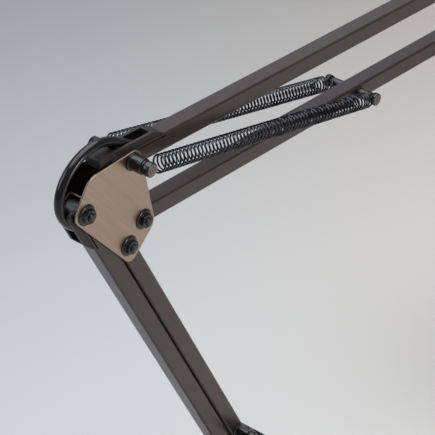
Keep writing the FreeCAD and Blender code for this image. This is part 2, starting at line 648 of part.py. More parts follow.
def makeElbow():
    fit = "boltRadius + seatFit"
    points = [("plateShoulderAhead + elbowX", "topZ + plateTopRise"),
              ("topX + plateTopAhead", "topZ + plateTopRise"),
              ("bottomX + plateFrontAhead", "bottomZ - plateFrontDrop"),
              ("frontElbowX + plateFootAhead", "frontElbowZ - plateFootDrop"),
              ("elbowX - plateHeelBack", "elbowZ + plateHeelRise")]
    spots = [("elbowX", "elbowZ"), ("bottomX", "bottomZ"), ("frontElbowX", "frontElbowZ")]
    circles = [(x, z, fit) for x, z in spots + [("topX", "topZ")]]
    rounds = ["shoulderRound", "topRound", "frontRound", "footRound", "heelRound"]
    for name, y in (("elbow_plate_near", "-plateInner"), ("elbow_plate_far", "plateOuter")):
        piece = plate(name.replace("_", "").title(), points, circles, rounds, "plateThick")
        node(name, place(piece, y=y))
    bolts("elbow_bolts", spots)
    nuts("elbow_nuts", spots)
    washers("elbow_washers", spots + [("topX", "topZ")])
    springPosts("elbow_spring_posts", "topX", "topZ")
    axle("elbow_spring_axle", "topX", "topZ")
    cable("elbow_cable", cableRoute(), size("cableRadius"))


def makeUpperArm():
    bar("upper_bottom_bar", "bottomX", "bottomZ", "-upperArmDroop", postAt="upperPostReach")
    bar("upper_top_bar", "topX", "topZ", "-upperArmDroop", hoodAt="start")
    hood("upper_cable_hood", "upperArmLength", "start", "topX", "topZ", "-upperArmDroop")
    bushes("upper_bottom_bushes", [("bottomX", "bottomZ", "runningFit"),
                                   ("headBottomX", "headBottomZ", "openPivotFit")])
    bushes("upper_top_bushes", [("topX", "topZ", "runningFit"), ("headTopX", "headTopZ", "runningFit")])
    barPost("upper_spring_post", "upperPostX", "upperPostZ")
    for name, side in (("upper_spring_near", -1), ("upper_spring_far", 1)):
        post = side * (size("barPostNeckInner") + size("barPostNeckOuter")) / 2
        anchor = side * (size("postNeckInner") + size("postNeckOuter")) / 2
        spring(name, Vector(size("topX"), anchor, size("topZ")),
               Vector(size("upperPostX"), post, size("upperPostZ")), "postNeck", "barPostNeck")


def makeHeadBracket():
    fit = "boltRadius + seatFit"
    points = [("headTopX - headPlateBack", "headTopZ + headPlateTop"),
              ("headTopX + headPlateBack", "headTopZ + headPlateTop"),
              ("tiltX + headPlateNose", "tiltZ + headPlateNose"),
              ("tiltX + headPlateNose", "tiltZ - headPlateNose"),
              ("headBottomX + headPlateBack / 2", "headBottomZ - headPlateDrop"),
              ("headBottomX - headPlateBack", "headBottomZ - headPlateDrop")]
    spots = [("headBottomX", "headBottomZ"), ("headTopX", "headTopZ")]
    circles = [(x, z, fit) for x, z in spots] + [("tiltX", "tiltZ", "tiltBoltRadius + seatFit")]
    rounds = ["headRound", "headRound", "headRound", "headRound", "headRound", "headRound"]
    for name, y in (("head_plate_near", "-plateInner"), ("head_plate_far", "plateOuter")):
        piece = plate(name.replace("_", "").title(), points, circles, rounds, "plateThick")
        node(name, place(piece, y=y))
    bolts("head_pivot_bolts", spots)
    nuts("head_pivot_nuts", spots)
    washers("head_washers", spots)
    head = prismAcross("tiltHeadRadius", "tiltHeadHeight")
    shank = turned([("tiltBoltRadius", "tiltBoltRadius", "2 * plateOuter + knobLength - knobGap * 3")])
    whole = fuse([head, place(shank, z="tiltHeadHeight")])
    node("tilt_bolt", across(whole, "tiltX", "plateOuter + tiltHeadHeight", "tiltZ"))
    makeTiltKnob()


def makeTiltKnob():
    """A lobed hand knob that clamps the shade's tilt."""
    knob = turned([("knobHub", "knobHub", "knobGap"), ("knobRadius", "knobRadius", "knobLength - knobGap * 3"),
                   ("knobRadius", "knobRadius - knobGap * 2", "knobGap * 2")])
    tools = [turned([("tiltBoltRadius + runningFit", "tiltBoltRadius + runningFit", "knobLength - knobGap * 3")])]
    count = int(size("knobLobes"))
    for i in range(count):
        angle = "%d * 360 / knobLobes * 1 deg" % i
        flute = turned([("lobeRadius", "lobeRadius", "knobLength + knobGap")])
        reach = "(knobRadius + lobeRadius / 2)"
        tools.append(place(flute, "%s * cos(%s)" % (reach, angle), "%s * sin(%s)" % (reach, angle)))
    piece = cut(knob, tools)
    node("tilt_knob", across(piece, "tiltX", "-plateOuter - knobGap", "tiltZ"))


def makeHead():
    reach = "shadeAhead - capRadius + capWall * 4"
    thickness = "2 * plateInner - 2 * knuckleGap"
    points = [("-knuckleHalf", "-knuckleHalf"), (reach, "-knuckleHalf"), (reach, "knuckleHalf"),
              ("-knuckleHalf", "knuckleHalf")]
    arm = plate("Knuckle", points, [("0", "0", "tiltBoltRadius + runningFit")],
                ["knuckleRound", None, None, "knuckleRound"], thickness)
    place(arm, "tiltX", "plateInner - knuckleGap", "tiltZ")
    cap = turned([("capRadius", "capRadius", "capRise + capDrop")])
    node("head_knuckle", cut(arm, [place(cap, "shadeX", 0, "capBottom")]))
    makeCap()
    makeSwitch()
    makeShade()
    makeLamp()


def makeCap():
    inner = "capRadius - capWall"
    height = "capRise + capDrop"
    bore = "switchStem + switchFit"
    shell = revolved("Cap", [
        (bore, height), ("capRadius - capEdge", height), ("capRadius", height + " - capEdge"),
        ("capRadius", "0"), (inner, "0"), (inner, height + " - capEdge - capWall / 2"),
        ("capRadius - capEdge - capWall / 2", height + " - capWall"), (bore, height + " - capWall")])
    count = int(size("ventCount"))
    tools = []
    for i in range(count):
        slot = box("0", "-ventWidth / 2", "capDrop - ventTop - ventHeight", "capRadius * 2", "ventWidth",
                   "ventHeight")
        # the first slot is half a step from the knuckle, so that none is cut behind it
        tools.append(turnAbout(slot, "(%d + 0.5) * 360 / ventCount" % i))
    node("shade_cap", place(cut(shell, tools), "shadeX", 0, "capBottom"))


def turnAbout(piece, angle):
    """Wrap a piece so that it turns about the Z axis through the origin."""
    holder = doc.addObject("Part::Compound", "Turned")
    holder.Links = [piece]
    return place(holder, angle=angle)


def makeSwitch():
    roof = "capTop - capWall"
    body = turned([("switchBody", "switchBody", "switchBodyHeight")])
    node("switch_body", place(body, "shadeX", 0, roof + " - switchBodyHeight"))
    knob = turned([("switchStem", "switchStem", "capWall + switchGap"),
                   ("switchKnob", "switchKnob", "switchKnobHeight - switchGap * 3"),
                   ("switchKnob", "switchKnob - switchGap * 2", "switchGap * 2")])
    node("switch_knob", place(knob, "shadeX", 0, roof + " + 0.05"))


def makeShade():
    wall = "shadeWall"
    outer = [("shadeNeck", "0"), ("shadeShoulder", "-shadeShoulderDrop"), ("shadeWaist", "-shadeWaistDrop"),
             ("shadeSkirt", "-shadeSkirtDrop"), ("shadeHem", "-shadeHemDrop"), ("shadeMouth", "-shadeHeight")]
    inner = [("shadeMouth - " + wall, "-shadeHeight"), ("shadeHem - " + wall, "-shadeHemDrop"),
             ("shadeSkirt - " + wall, "-shadeSkirtDrop - " + wall),
             ("shadeWaist - " + wall, "-shadeWaistDrop - " + wall),
             ("shadeShoulder - " + wall, "-shadeShoulderDrop - " + wall),
             ("shadeNeck - " + wall, "-" + wall), ("shadeFlangeBore", "-" + wall)]
    shade = revolved("Shade", [("shadeFlangeBore", "0")] + outer + inner)
    node("shade", place(shade, "shadeX", 0, "capBottom"))


def makeLamp():
    top = "tiltZ - holderTop"
    cup = turned([("holderRadius", "holderRadius", "holderDrop - holderTop")])
    hollow = turned([("holderBore", "holderBore", "holderDrop - holderTop - holderRoof")])
    node("lamp_holder", place(cut(cup, [hollow]), "shadeX", 0, "tiltZ - holderDrop"))
    ring = turned([("ringRadius", "ringRadius", "ringHeight")])
    bore = turned([("holderRadius + seatFit", "holderRadius + seatFit", "ringHeight")])
    node("shade_ring", place(cut(ring, [bore]), "shadeX", 0, "capBottom - shadeWall - ringHeight"))
    base = turned([("bulbBaseRadius", "bulbBaseRadius", "bulbNeckDrop - bulbBaseTop")])
    node("bulb_base", place(base, "shadeX", 0, "tiltZ - bulbNeckDrop"))
    ball = doc.addObject("Part::Sphere", "Ball")
    bind(ball, Radius="bulbRadius")
    neckHeight = "bulbConeDrop - bulbNeckDrop"
    coneHeight = "bulbDrop - bulbRadius * 0.5 - bulbConeDrop"
    neck = turned([("bulbRadius * 0.866", "bulbNeckRadius", coneHeight),
                   ("bulbNeckRadius", "bulbNeckRadius", neckHeight)])
    glass = fuse([ball, place(neck, z="bulbRadius * 0.5")])
    # the glass is a thin shell, open at the top of its neck
    void = doc.addObject("Part::Sphere", "Void")
    bind(void, Radius="bulbRadius - glassWall")
    throat = turned([("bulbNeckRadius - glassWall", "bulbNeckRadius - glassWall", "bulbDrop - bulbNeckDrop")])
    node("bulb_glass", place(cut(glass, [void, throat]), "shadeX", 0, "bulbZ"))


def checkAndWrite():
    doc.recompute()
    bad = [o.Label for o in doc.Objects if "Invalid" in o.State or "Error" in o.State]
    if bad:
        raise RuntimeError("not computed: %s" % bad)
    for piece in nodes:
        if piece.Shape.isNull() or not piece.Shape.isValid() or not piece.Shape.Solids:
            raise RuntimeError("bad shape: %s" % piece.Label)
    os.makedirs("parts", exist_ok=True)
    for piece in nodes:
        piece.Shape.exportStep("parts/%s.step" % piece.Label)
    print(len(nodes), "nodes")


fillSheet()
makeBase()
makeSwivel()
makeLowerArm()
makeElbow()
makeUpperArm()
makeHeadBracket()
makeHead()
checkAndWrite()
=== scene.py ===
import math

import bmesh
import bpy
from mathutils import Matrix, Vector


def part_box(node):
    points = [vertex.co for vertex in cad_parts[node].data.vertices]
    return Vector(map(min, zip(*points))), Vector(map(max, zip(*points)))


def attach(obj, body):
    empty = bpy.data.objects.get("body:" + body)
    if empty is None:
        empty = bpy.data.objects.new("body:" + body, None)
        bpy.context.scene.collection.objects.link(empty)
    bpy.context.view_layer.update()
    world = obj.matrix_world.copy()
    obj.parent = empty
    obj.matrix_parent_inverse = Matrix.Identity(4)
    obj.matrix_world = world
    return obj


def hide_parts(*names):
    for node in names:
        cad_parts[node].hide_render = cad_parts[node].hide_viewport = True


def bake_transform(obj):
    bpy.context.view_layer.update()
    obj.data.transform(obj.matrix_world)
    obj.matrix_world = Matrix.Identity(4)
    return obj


# Architect's desk lamp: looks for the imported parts. Metres, +Z up, the arms move in the XZ plane.
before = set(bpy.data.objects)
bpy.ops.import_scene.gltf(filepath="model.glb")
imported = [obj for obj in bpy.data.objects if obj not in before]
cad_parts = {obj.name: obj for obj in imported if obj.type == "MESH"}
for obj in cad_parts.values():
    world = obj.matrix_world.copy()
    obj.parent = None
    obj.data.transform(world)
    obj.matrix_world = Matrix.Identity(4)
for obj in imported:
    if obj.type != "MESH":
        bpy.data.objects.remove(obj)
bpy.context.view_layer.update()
print("frame loaded:", len(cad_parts), "nodes")

scene = bpy.context.scene
scene.view_settings.view_transform = "Standard"

# pivots of the arms as (x, z)
pivots = {
    "elbowRear": (-0.1923485, 0.4695176), "elbowFront": (-0.1582485, 0.4293176),
    "elbowBottom": (-0.1447485, 0.4411176), "elbowTop": (-0.1526485, 0.4856176),
    "footRear": (-0.017, 0.110), "footFront": (0.0171, 0.0698),
    "lowerAnchor": (0.0511, 0.0958), "lowerPost": (-0.0517243, 0.2109108),
    "upperPost": (0.0765972, 0.4240861),
    "headBottom": (0.2540727, 0.4104297), "headTop": (0.2461727, 0.4549297),
    "tilt": (0.3140727, 0.4204297), "shade": (0.3570727, 0.4204297),
}
halfBar = 0.006  # half the width of a bar
plateInner = 0.0066  # faces of the side plates, from the lamp's middle plane
plateOuter = 0.0080
sharpAngle = 32  # degrees; faces that meet at less than this shade as one
mergeDistance = 1e-6


def meshPiece(name, verts, faces, material, smooth=True):
    mesh = bpy.data.meshes.new(name)
    mesh.from_pydata([tuple(v) for v in verts], [], faces)
    mesh.update()
    piece = bpy.data.objects.new(name, mesh)
    scene.collection.objects.link(piece)
    mesh.materials.append(material)
    if smooth:
        mesh.shade_smooth()
        mesh.set_sharp_from_angle(angle=math.radians(sharpAngle))
    return piece


def ringFaces(rings, count):
    # quads between rings of the same number of points, laid one after the other
    faces = []
    for r in range(rings - 1):
        for i in range(count):
            j = (i + 1) % count
            faces.append((r * count + i, r * count + j, (r + 1) * count + j, (r + 1) * count + i))
    return faces


def acrossArm(x, y, z, side):
    # local +Z goes across the arm, towards the near side for -1 and the far side for 1
    turn = Matrix.Rotation(math.radians(90 if side < 0 else -90), 4, "X")
    return Matrix.Translation((x, y, z)) @ turn


def lathe(profile, segments=48, place=Matrix.Identity(4)):
    # profile is (radius, height) from bottom to top; a zero radius closes the end
    verts = []
    for radius, height in profile:
        for i in range(segments):
            angle = 2 * math.pi * i / segments
            verts.append(place @ Vector((radius * math.cos(angle), radius * math.sin(angle), height)))
    return verts, ringFaces(len(profile), segments)


hexShape = {"corner": 1.135, "shoulder": 0.99, "slope": 0.62, "rim": 1.01, "crown": 0.9}


def hexagon(across, bottom, top, chamfer, dish, segments=72, place=Matrix.Identity(4)):
    # hexagon with the rounded corners that a turning tool leaves on its top
    s = hexShape
    half = across / 2
    verts = []
    for ring in range(5):
        for i in range(segments):
            angle = 2 * math.pi * i / segments
            inFlat = (math.degrees(angle) + 30) % 60 - 30  # degrees from the middle of the nearest flat
            flat = min(half / math.cos(math.radians(inFlat)), half * s["corner"])
            drop = max(0, flat - half * s["shoulder"]) * s["slope"]
            radius, height = ((flat, bottom),
                              (flat, top - chamfer * 0.4 - drop),
                              (min(flat, half * s["rim"]) - chamfer * 0.3, top - chamfer * 0.1),
                              (half * s["crown"] - chamfer, top),
                              (dish, top - chamfer * 0.8))[ring]
            verts.append(place @ Vector((radius * math.cos(angle), radius * math.sin(angle), height)))
    return verts, ringFaces(5, segments)


def joined(name, parts, material):
    verts = []
    faces = []
    for partVerts, partFaces in parts:
        base = len(verts)
        verts += partVerts
        faces += [tuple(base + i for i in face) for face in partFaces]
    piece = meshPiece(name, verts, faces, material)
    tidyNormals(piece)
    return piece


def tidyNormals(piece):
    work = bmesh.new()
    work.from_mesh(piece.data)
    bmesh.ops.remove_doubles(work, verts=work.verts, dist=mergeDistance)
    bmesh.ops.recalc_face_normals(work, faces=work.faces)
    work.to_mesh(piece.data)
    work.free()


def roundedOutline(corners, radii, steps=10):
    # corners of a flat outline, each with its own rounding
    outline = []
    count = len(corners)
    for i in range(count):
        before, corner, after = (Vector(corners[(i + k) % count]) for k in (-1, 0, 1))
        into = (corner - before).normalized()
        out = (after - corner).normalized()
        half = into.angle(out) / 2
        reach = radii[i] * math.tan(half)
        centre = corner + (out - into).normalized() * (radii[i] / math.cos(half))
        start = corner - into * reach - centre
        end = corner + out * reach - centre
        turn = start.angle_signed(end)
        for k in range(steps + 1):
            angle = -turn * k / steps
            cosA, sinA = math.cos(angle), math.sin(angle)
            turned = Vector((start.x * cosA - start.y * sinA, start.x * sinA + start.y * cosA))
            outline.append(centre + turned)
    return outline


def plateSolid(outline, near, far, edge):
    # flat plate between two Y values, with a small rounding along both rims
    count = len(outline)
    centre = sum(outline, Vector((0, 0))) / count

    def inset(amount):
        ring = []
        for i in range(count):
            before, here, after = outline[i - 1], outline[i], outline[(i + 1) % count]
            along = (after - before).normalized()
            normal = Vector((along.y, -along.x))
            if normal.dot(here - centre) < 0:
                normal = -normal
            ring.append(here - normal * amount)
        return ring

    steps = [(near, edge * 2.2), (near, edge), (near + edge * 0.3, edge * 0.3), (near + edge, 0),
             (far - edge, 0), (far - edge * 0.3, edge * 0.3), (far, edge), (far, edge * 2.2)]
    verts = [Vector((p.x, y, p.y)) for y, amount in steps for p in inset(amount)]
    faces = ringFaces(len(steps), count)
    faces.append(tuple(range(count)))
    faces.append(tuple(reversed(range((len(steps) - 1) * count, len(steps) * count))))
    return verts, faces


def tubeAlong(points, radius, sides):
    # round tube along points, its section carried along without twist
    radii = radius if isinstance(radius, list) else [radius] * len(points)
    verts = []
    tangent = (points[1] - points[0]).normalized()
    side = tangent.orthogonal().normalized()
    for i, point in enumerate(points):
        before = points[max(i - 1, 0)]
        after = points[min(i + 1, len(points) - 1)]
        newTangent = (after - before).normalized()
        side = (side - newTangent * side.dot(newTangent)).normalized()
        other = newTangent.cross(side)
        for k in range(sides):
            angle = 2 * math.pi * k / sides
            verts.append(point + side * math.cos(angle) * radii[i] + other * math.sin(angle) * radii[i])
    faces = ringFaces(len(points), sides)
    faces.append(tuple(reversed(range(sides))))
    faces.append(tuple(range((len(points) - 1) * sides, len(points) * sides)))
    return verts, faces


def startGroup(name, inputs, outputs):
    group = bpy.data.node_groups.new(name, "ShaderNodeTree")
    for label, kind, value in inputs:
        socket = group.interface.new_socket(label, in_out="INPUT", socket_type=kind)
        socket.default_value = value
    for label, kind in outputs:
        group.interface.new_socket(label, in_out="OUTPUT", socket_type=kind)
    return group, group.nodes.new("NodeGroupInput"), group.nodes.new("NodeGroupOutput")


def addNode(tree, kind, settings=None, **sockets):
    node = tree.nodes.new(kind)
    for key, value in (settings or {}).items():
        setattr(node, key, value)
    for label, value in sockets.items():
        feed(tree, node.inputs[label.replace("_", " ")], value)
    return node


def feed(tree, socket, value):
    if isinstance(value, bpy.types.NodeSocket):
        tree.links.new(value, socket)
    else:
        socket.default_value = value


def mathNode(tree, operation, first, second=0.0, third=0.0, clamp=False):
    node = tree.nodes.new("ShaderNodeMath")
    node.operation = operation
    node.use_clamp = clamp
    for socket, value in zip(node.inputs, (first, second, third)):
        feed(tree, socket, value)
    return node.outputs[0]


def rangeNode(tree, value, fromLow, fromHigh, toLow, toHigh):
    node = tree.nodes.new("ShaderNodeMapRange")
    for label, number in (("Value", value), ("From Min", fromLow), ("From Max", fromHigh),
                          ("To Min", toLow), ("To Max", toHigh)):
        feed(tree, node.inputs[label], number)
    return node.outputs["Result"]


def mixColour(tree, factor, first, second):
    node = tree.nodes.new("ShaderNodeMix")
    node.data_type = "RGBA"
    feed(tree, node.inputs[0], factor)
    feed(tree, node.inputs[6], first)
    feed(tree, node.inputs[7], second)
    return node.outputs[2]


def makeSatinTexture():
    # the fine orange peel and uneven sheen of a sprayed satin coat
    group, given, result = startGroup("satinCoat", [
        ("Grain", "NodeSocketFloat", 2600.0), ("Mottle", "NodeSocketFloat", 45.0)],
        [("Tone", "NodeSocketFloat"), ("Sheen", "NodeSocketFloat"), ("Height", "NodeSocketFloat")])
    where = addNode(group, "ShaderNodeTexCoord").outputs["Object"]
    fine = addNode(group, "ShaderNodeTexNoise", Vector=where, Scale=given.outputs["Grain"], Detail=3.0)
    broad = addNode(group, "ShaderNodeTexNoise", Vector=where, Scale=given.outputs["Mottle"], Detail=4.0)
    group.links.new(rangeNode(group, broad.outputs["Fac"], 0.3, 0.7, 0.86, 1.14), result.inputs["Tone"])
    mixed = mathNode(group, "MULTIPLY_ADD", fine.outputs["Fac"], 0.35, broad.outputs["Fac"])
    group.links.new(rangeNode(group, mixed, 0.4, 1.0, -1.0, 1.0), result.inputs["Sheen"])
    group.links.new(fine.outputs["Fac"], result.inputs["Height"])
    return group


def makeBrushedGrain():
    # long fine scratches along one direction of a flat plate in the XZ plane
    group, given, result = startGroup("brushedGrain", [
        ("Angle", "NodeSocketFloat", 0.0), ("Fineness", "NodeSocketFloat", 5200.0),
        ("Stretch", "NodeSocketFloat", 40.0)],
        [("Tone", "NodeSocketFloat"), ("Sheen", "NodeSocketFloat"), ("Height", "NodeSocketFloat")])
    where = addNode(group, "ShaderNodeTexCoord").outputs["Object"]
    turned = addNode(group, "ShaderNodeVectorRotate", {"rotation_type": "Y_AXIS"}, Vector=where,
                     Angle=given.outputs["Angle"])
    parts = addNode(group, "ShaderNodeSeparateXYZ", Vector=turned.outputs[0])
    along = mathNode(group, "DIVIDE", parts.outputs["X"], given.outputs["Stretch"])
    stretched = addNode(group, "ShaderNodeCombineXYZ", X=along, Y=parts.outputs["Y"], Z=parts.outputs["Z"])
    fine = addNode(group, "ShaderNodeTexNoise", Vector=stretched.outputs[0],
                   Scale=given.outputs["Fineness"], Detail=4.0)
    wide = addNode(group, "ShaderNodeTexNoise", Vector=stretched.outputs[0],
                   Scale=mathNode(group, "DIVIDE", given.outputs["Fineness"], 7.0), Detail=3.0)
    both = mathNode(group, "MULTIPLY_ADD", wide.outputs["Fac"], 0.6, fine.outputs["Fac"])
    group.links.new(rangeNode(group, both, 0.5, 1.1, 0.87, 1.13), result.inputs["Tone"])
    group.links.new(rangeNode(group, both, 0.5, 1.1, -1.0, 1.0), result.inputs["Sheen"])
    group.links.new(both, result.inputs["Height"])
    return group


def makeEdgeWearAndHighlight():
    # a mask that is 1 along worn edges, and a normal that rounds them; its light worn colour is also a
    # painted highlight along the rims of the plates and nuts
    group, given, result = startGroup("edgeWearAndHighlight", [
        ("Width", "NodeSocketFloat", 0.0003), ("Breakup", "NodeSocketFloat", 900.0)],
        [("WearAndHighlight", "NodeSocketFloat"), ("Normal", "NodeSocketVector")])
    rounded = addNode(group, "ShaderNodeBevel", {"samples": 6}, Radius=given.outputs["Width"])
    plain = addNode(group, "ShaderNodeNewGeometry")
    dot = addNode(group, "ShaderNodeVectorMath", {"operation": "DOT_PRODUCT"})
    group.links.new(rounded.outputs[0], dot.inputs[0])
    group.links.new(plain.outputs["Normal"], dot.inputs[1])
    edge = rangeNode(group, dot.outputs["Value"], 0.995, 0.8, 0.0, 1.0)
    where = addNode(group, "ShaderNodeTexCoord").outputs["Object"]
    noise = addNode(group, "ShaderNodeTexNoise", Vector=where, Scale=given.outputs["Breakup"], Detail=3.0)
    broken = mathNode(group, "MULTIPLY", edge, rangeNode(group, noise.outputs["Fac"], 0.4, 0.62, 0.15, 1.0))
    group.links.new(broken, result.inputs["WearAndHighlight"])
    group.links.new(rounded.outputs[0], result.inputs["Normal"])
    return group


def makeDustFilm():
    # thin dust and finger marks, more on what faces up
    group, given, result = startGroup("dustFilm", [
        ("Amount", "NodeSocketFloat", 0.2), ("Spread", "NodeSocketFloat", 60.0)],
        [("Dust", "NodeSocketFloat"), ("Smudge", "NodeSocketFloat")])
    surface = addNode(group, "ShaderNodeNewGeometry")
    up = addNode(group, "ShaderNodeSeparateXYZ", Vector=surface.outputs["Normal"])
    facing = rangeNode(group, up.outputs["Z"], -0.1, 1.0, 0.1, 1.0)
    where = addNode(group, "ShaderNodeTexCoord").outputs["Object"]
    cloud = addNode(group, "ShaderNodeTexNoise", Vector=where, Scale=given.outputs["Spread"], Detail=5.0)
    patch = rangeNode(group, cloud.outputs["Fac"], 0.42, 0.7, 0.1, 1.0)
    amount = mathNode(group, "MULTIPLY", mathNode(group, "MULTIPLY", facing, patch), given.outputs["Amount"])
    group.links.new(amount, result.inputs["Dust"])
    group.links.new(rangeNode(group, cloud.outputs["Fac"], 0.35, 0.65, -1.0, 1.0), result.inputs["Smudge"])
    return group


satinCoat = makeSatinTexture()
brushedGrain = makeBrushedGrain()
edgeWearAndHighlight = makeEdgeWearAndHighlight()
dustFilm = makeDustFilm()


def useGroup(tree, group, **values):
    node = tree.nodes.new("ShaderNodeGroup")
    node.node_tree = group
    for label, value in values.items():
        feed(tree, node.inputs[label], value)
    return node


def startMaterial(name, **constants):
    material = bpy.data.materials.new(name)
    material.use_nodes = True
    tree = material.node_tree
    shader = tree.nodes["Principled BSDF"]
    for label, value in constants.items():
        shader.inputs[label.replace("_", " ")].default_value = value
    return material, tree, shader


def scaledColour(tree, colour, tone):
    node = addNode(tree, "ShaderNodeVectorMath", {"operation": "SCALE"})
    node.inputs[0].default_value = colour
    feed(tree, node.inputs["Scale"], tone)
    return node.outputs[0]


dustColour = (0.35, 0.34, 0.33, 1)
bumpDepth = {"coat": 0.00005, "grain": 0.00004}


def coated(name, look):
    # satin paint, moulded plastic, rubber and blackened steel all come from this
    material, tree, shader = startMaterial(name, Metallic=look["metallic"], IOR=look["ior"],
                                           Specular_Tint=(*look["tint"], 1))
    texture = useGroup(tree, satinCoat, Grain=look["grain"], Mottle=look["mottle"])
    wearAndHighlight = useGroup(tree, edgeWearAndHighlight, Width=look["edge"])
    dust = useGroup(tree, dustFilm, Amount=look["dust"])
    base = scaledColour(tree, look["colour"], texture.outputs["Tone"])
    wornAndHighlit = mixColour(tree, mathNode(tree, "MULTIPLY", wearAndHighlight.outputs["WearAndHighlight"], look["wearAndHighlight"]), base,
                     (*look["wornAndHighlightColour"], 1))
    dusty = mixColour(tree, dust.outputs["Dust"], wornAndHighlit, dustColour)
    tree.links.new(dusty, shader.inputs["Base Color"])
    rough = mathNode(tree, "MULTIPLY_ADD", texture.outputs["Sheen"], look["unevenness"], look["roughness"])
    rough = mathNode(tree, "MULTIPLY_ADD", dust.outputs["Smudge"], look["unevenness"] * 0.6, rough)
    rough = mathNode(tree, "ADD", rough, dust.outputs["Dust"], clamp=True)
    tree.links.new(rough, shader.inputs["Roughness"])
    bump = addNode(tree, "ShaderNodeBump", Strength=look["bump"], Distance=bumpDepth["coat"],
                   Height=texture.outputs["Height"], Normal=wearAndHighlight.outputs["Normal"])
    tree.links.new(bump.outputs[0], shader.inputs["Normal"])
    return material


def brushed(name, look):
    # bare metal rubbed along one direction
    material, tree, shader = startMaterial(name, Metallic=1.0)
    grain = useGroup(tree, brushedGrain, Angle=math.radians(look["angle"]), Fineness=look["fineness"],
                     Stretch=look["stretch"])
    wearAndHighlight = useGroup(tree, edgeWearAndHighlight, Width=look["edge"])
    dust = useGroup(tree, dustFilm, Amount=look["dust"])
    base = scaledColour(tree, look["colour"], grain.outputs["Tone"])
    wornAndHighlit = mixColour(tree, mathNode(tree, "MULTIPLY", wearAndHighlight.outputs["WearAndHighlight"], look["wearAndHighlight"]), base,
                     (*look["wornAndHighlightColour"], 1))
    tree.links.new(wornAndHighlit, shader.inputs["Base Color"])
    rough = mathNode(tree, "MULTIPLY_ADD", grain.outputs["Sheen"], look["unevenness"], look["roughness"])
    rough = mathNode(tree, "MULTIPLY_ADD", dust.outputs["Smudge"], look["unevenness"] * 0.5, rough)
    tree.links.new(mathNode(tree, "ADD", rough, dust.outputs["Dust"], clamp=True), shader.inputs["Roughness"])
    bump = addNode(tree, "ShaderNodeBump", Strength=look["bump"], Distance=bumpDepth["grain"],
                   Height=grain.outputs["Height"], Normal=wearAndHighlight.outputs["Normal"])
    tree.links.new(bump.outputs[0], shader.inputs["Normal"])
    return material


barLook = {"colour": (0.033, 0.0245, 0.0222), "roughness": 0.3, "unevenness": 0.03, "grain": 2400.0,
           "mottle": 34.0, "edge": 0.0003, "wearAndHighlight": 0.02, "wornAndHighlightColour": (0.12, 0.1, 0.095), "dust": 0.02,
           "bump": 0.25, "metallic": 0.0, "ior": 1.5, "tint": (1.0, 0.9, 0.88)}
shadeLook = dict(barLook, mottle=16.0)
# painted shade: the hoods are painted far darker than the bars, for the shade inside their windows and open
# ends
hoodShadeLook = dict(barLook, colour=(0.006, 0.0052, 0.0056), roughness=0.5, edge=0.00035)
# painted highlight: the light worn colour along the edges of nuts, bolts and posts also stands in for glints
# on their rims
steelLook = {"colour": (0.021, 0.02, 0.02), "roughness": 0.2, "unevenness": 0.08, "grain": 3800.0,
             "mottle": 260.0, "edge": 0.00025, "wearAndHighlight": 0.55, "wornAndHighlightColour": (0.3, 0.29, 0.27), "dust": 0.01,
             "bump": 0.3, "metallic": 0.6, "ior": 1.8, "tint": (1, 1, 1)}
springLook = dict(steelLook, colour=(0.045, 0.045, 0.052), roughness=0.19, metallic=0.85, mottle=120.0,
                  edge=0.0001, wearAndHighlight=0.0)
endLook = dict(steelLook, colour=(0.16, 0.135, 0.135), roughness=0.38, metallic=0.9)
jacketLook = {"colour": (0.0075, 0.0066, 0.0078), "roughness": 0.15, "unevenness": 0.03, "grain": 1800.0,
              "mottle": 60.0, "edge": 0.0002, "wearAndHighlight": 0.0, "wornAndHighlightColour": (0.1, 0.1, 0.1), "dust": 0.008,
              "bump": 0.18, "metallic": 0.0, "ior": 1.45, "tint": (1, 1, 1)}
plasticLook = dict(jacketLook, colour=(0.02, 0.019, 0.02), roughness=0.4)
nylonLook = dict(plasticLook, colour=(0.62, 0.6, 0.55), wornAndHighlightColour=(0.7, 0.68, 0.62))
ironLook = dict(steelLook, colour=(0.09, 0.088, 0.085), roughness=0.7, grain=900.0, bump=0.8)
rubberLook = dict(plasticLook, colour=(0.03, 0.03, 0.03), roughness=0.75)
plainSteelLook = dict(steelLook, colour=(0.42, 0.41, 0.4), roughness=0.3, wearAndHighlight=0.2, metallic=1.0)
# painted shade: the bushes' brass is painted dark, for the shade they sit in between the bars
shadedBrassLook = dict(steelLook, colour=(0.17, 0.125, 0.08), roughness=0.42, wearAndHighlight=0.2, metallic=1.0)
shellLook = dict(steelLook, colour=(0.66, 0.65, 0.63), roughness=0.26, wearAndHighlight=0.1, metallic=1.0)
liningLook = dict(barLook, colour=(0.8, 0.79, 0.76), roughness=0.36, wearAndHighlight=0.0, dust=0.05)
# painted highlight: the cream worn colour along the plates' edges also stands in for the light caught on
# their rims
plateLook = {"colour": (0.345, 0.266, 0.209), "roughness": 0.36, "angle": -52.0, "fineness": 2600.0,
             "stretch": 60.0, "edge": 0.0003, "wearAndHighlight": 0.8, "wornAndHighlightColour": (0.86, 0.76, 0.62), "dust": 0.015,
             "bump": 0.18, "unevenness": 0.06}
# painted shade: a darker champagne for the plates' facing sides, where shade falls between them
insideShadeLook = dict(plateLook, colour=(0.055, 0.036, 0.028), roughness=0.5, wearAndHighlight=0.3)
glassLook = {"colour": (0.86, 0.86, 0.84), "roughness": 0.42, "unevenness": 0.05, "grain": 900.0,
             "mottle": 40.0, "transmission": 0.55, "ior": 1.45}


def frostedGlass(name, look):
    material, tree, shader = startMaterial(name, Transmission_Weight=look["transmission"], IOR=look["ior"])
    texture = useGroup(tree, satinCoat, Grain=look["grain"], Mottle=look["mottle"])
    tree.links.new(scaledColour(tree, look["colour"], texture.outputs["Tone"]), shader.inputs["Base Color"])
    rough = mathNode(tree, "MULTIPLY_ADD", texture.outputs["Sheen"], look["unevenness"], look["roughness"])
    tree.links.new(rough, shader.inputs["Roughness"])
    return material


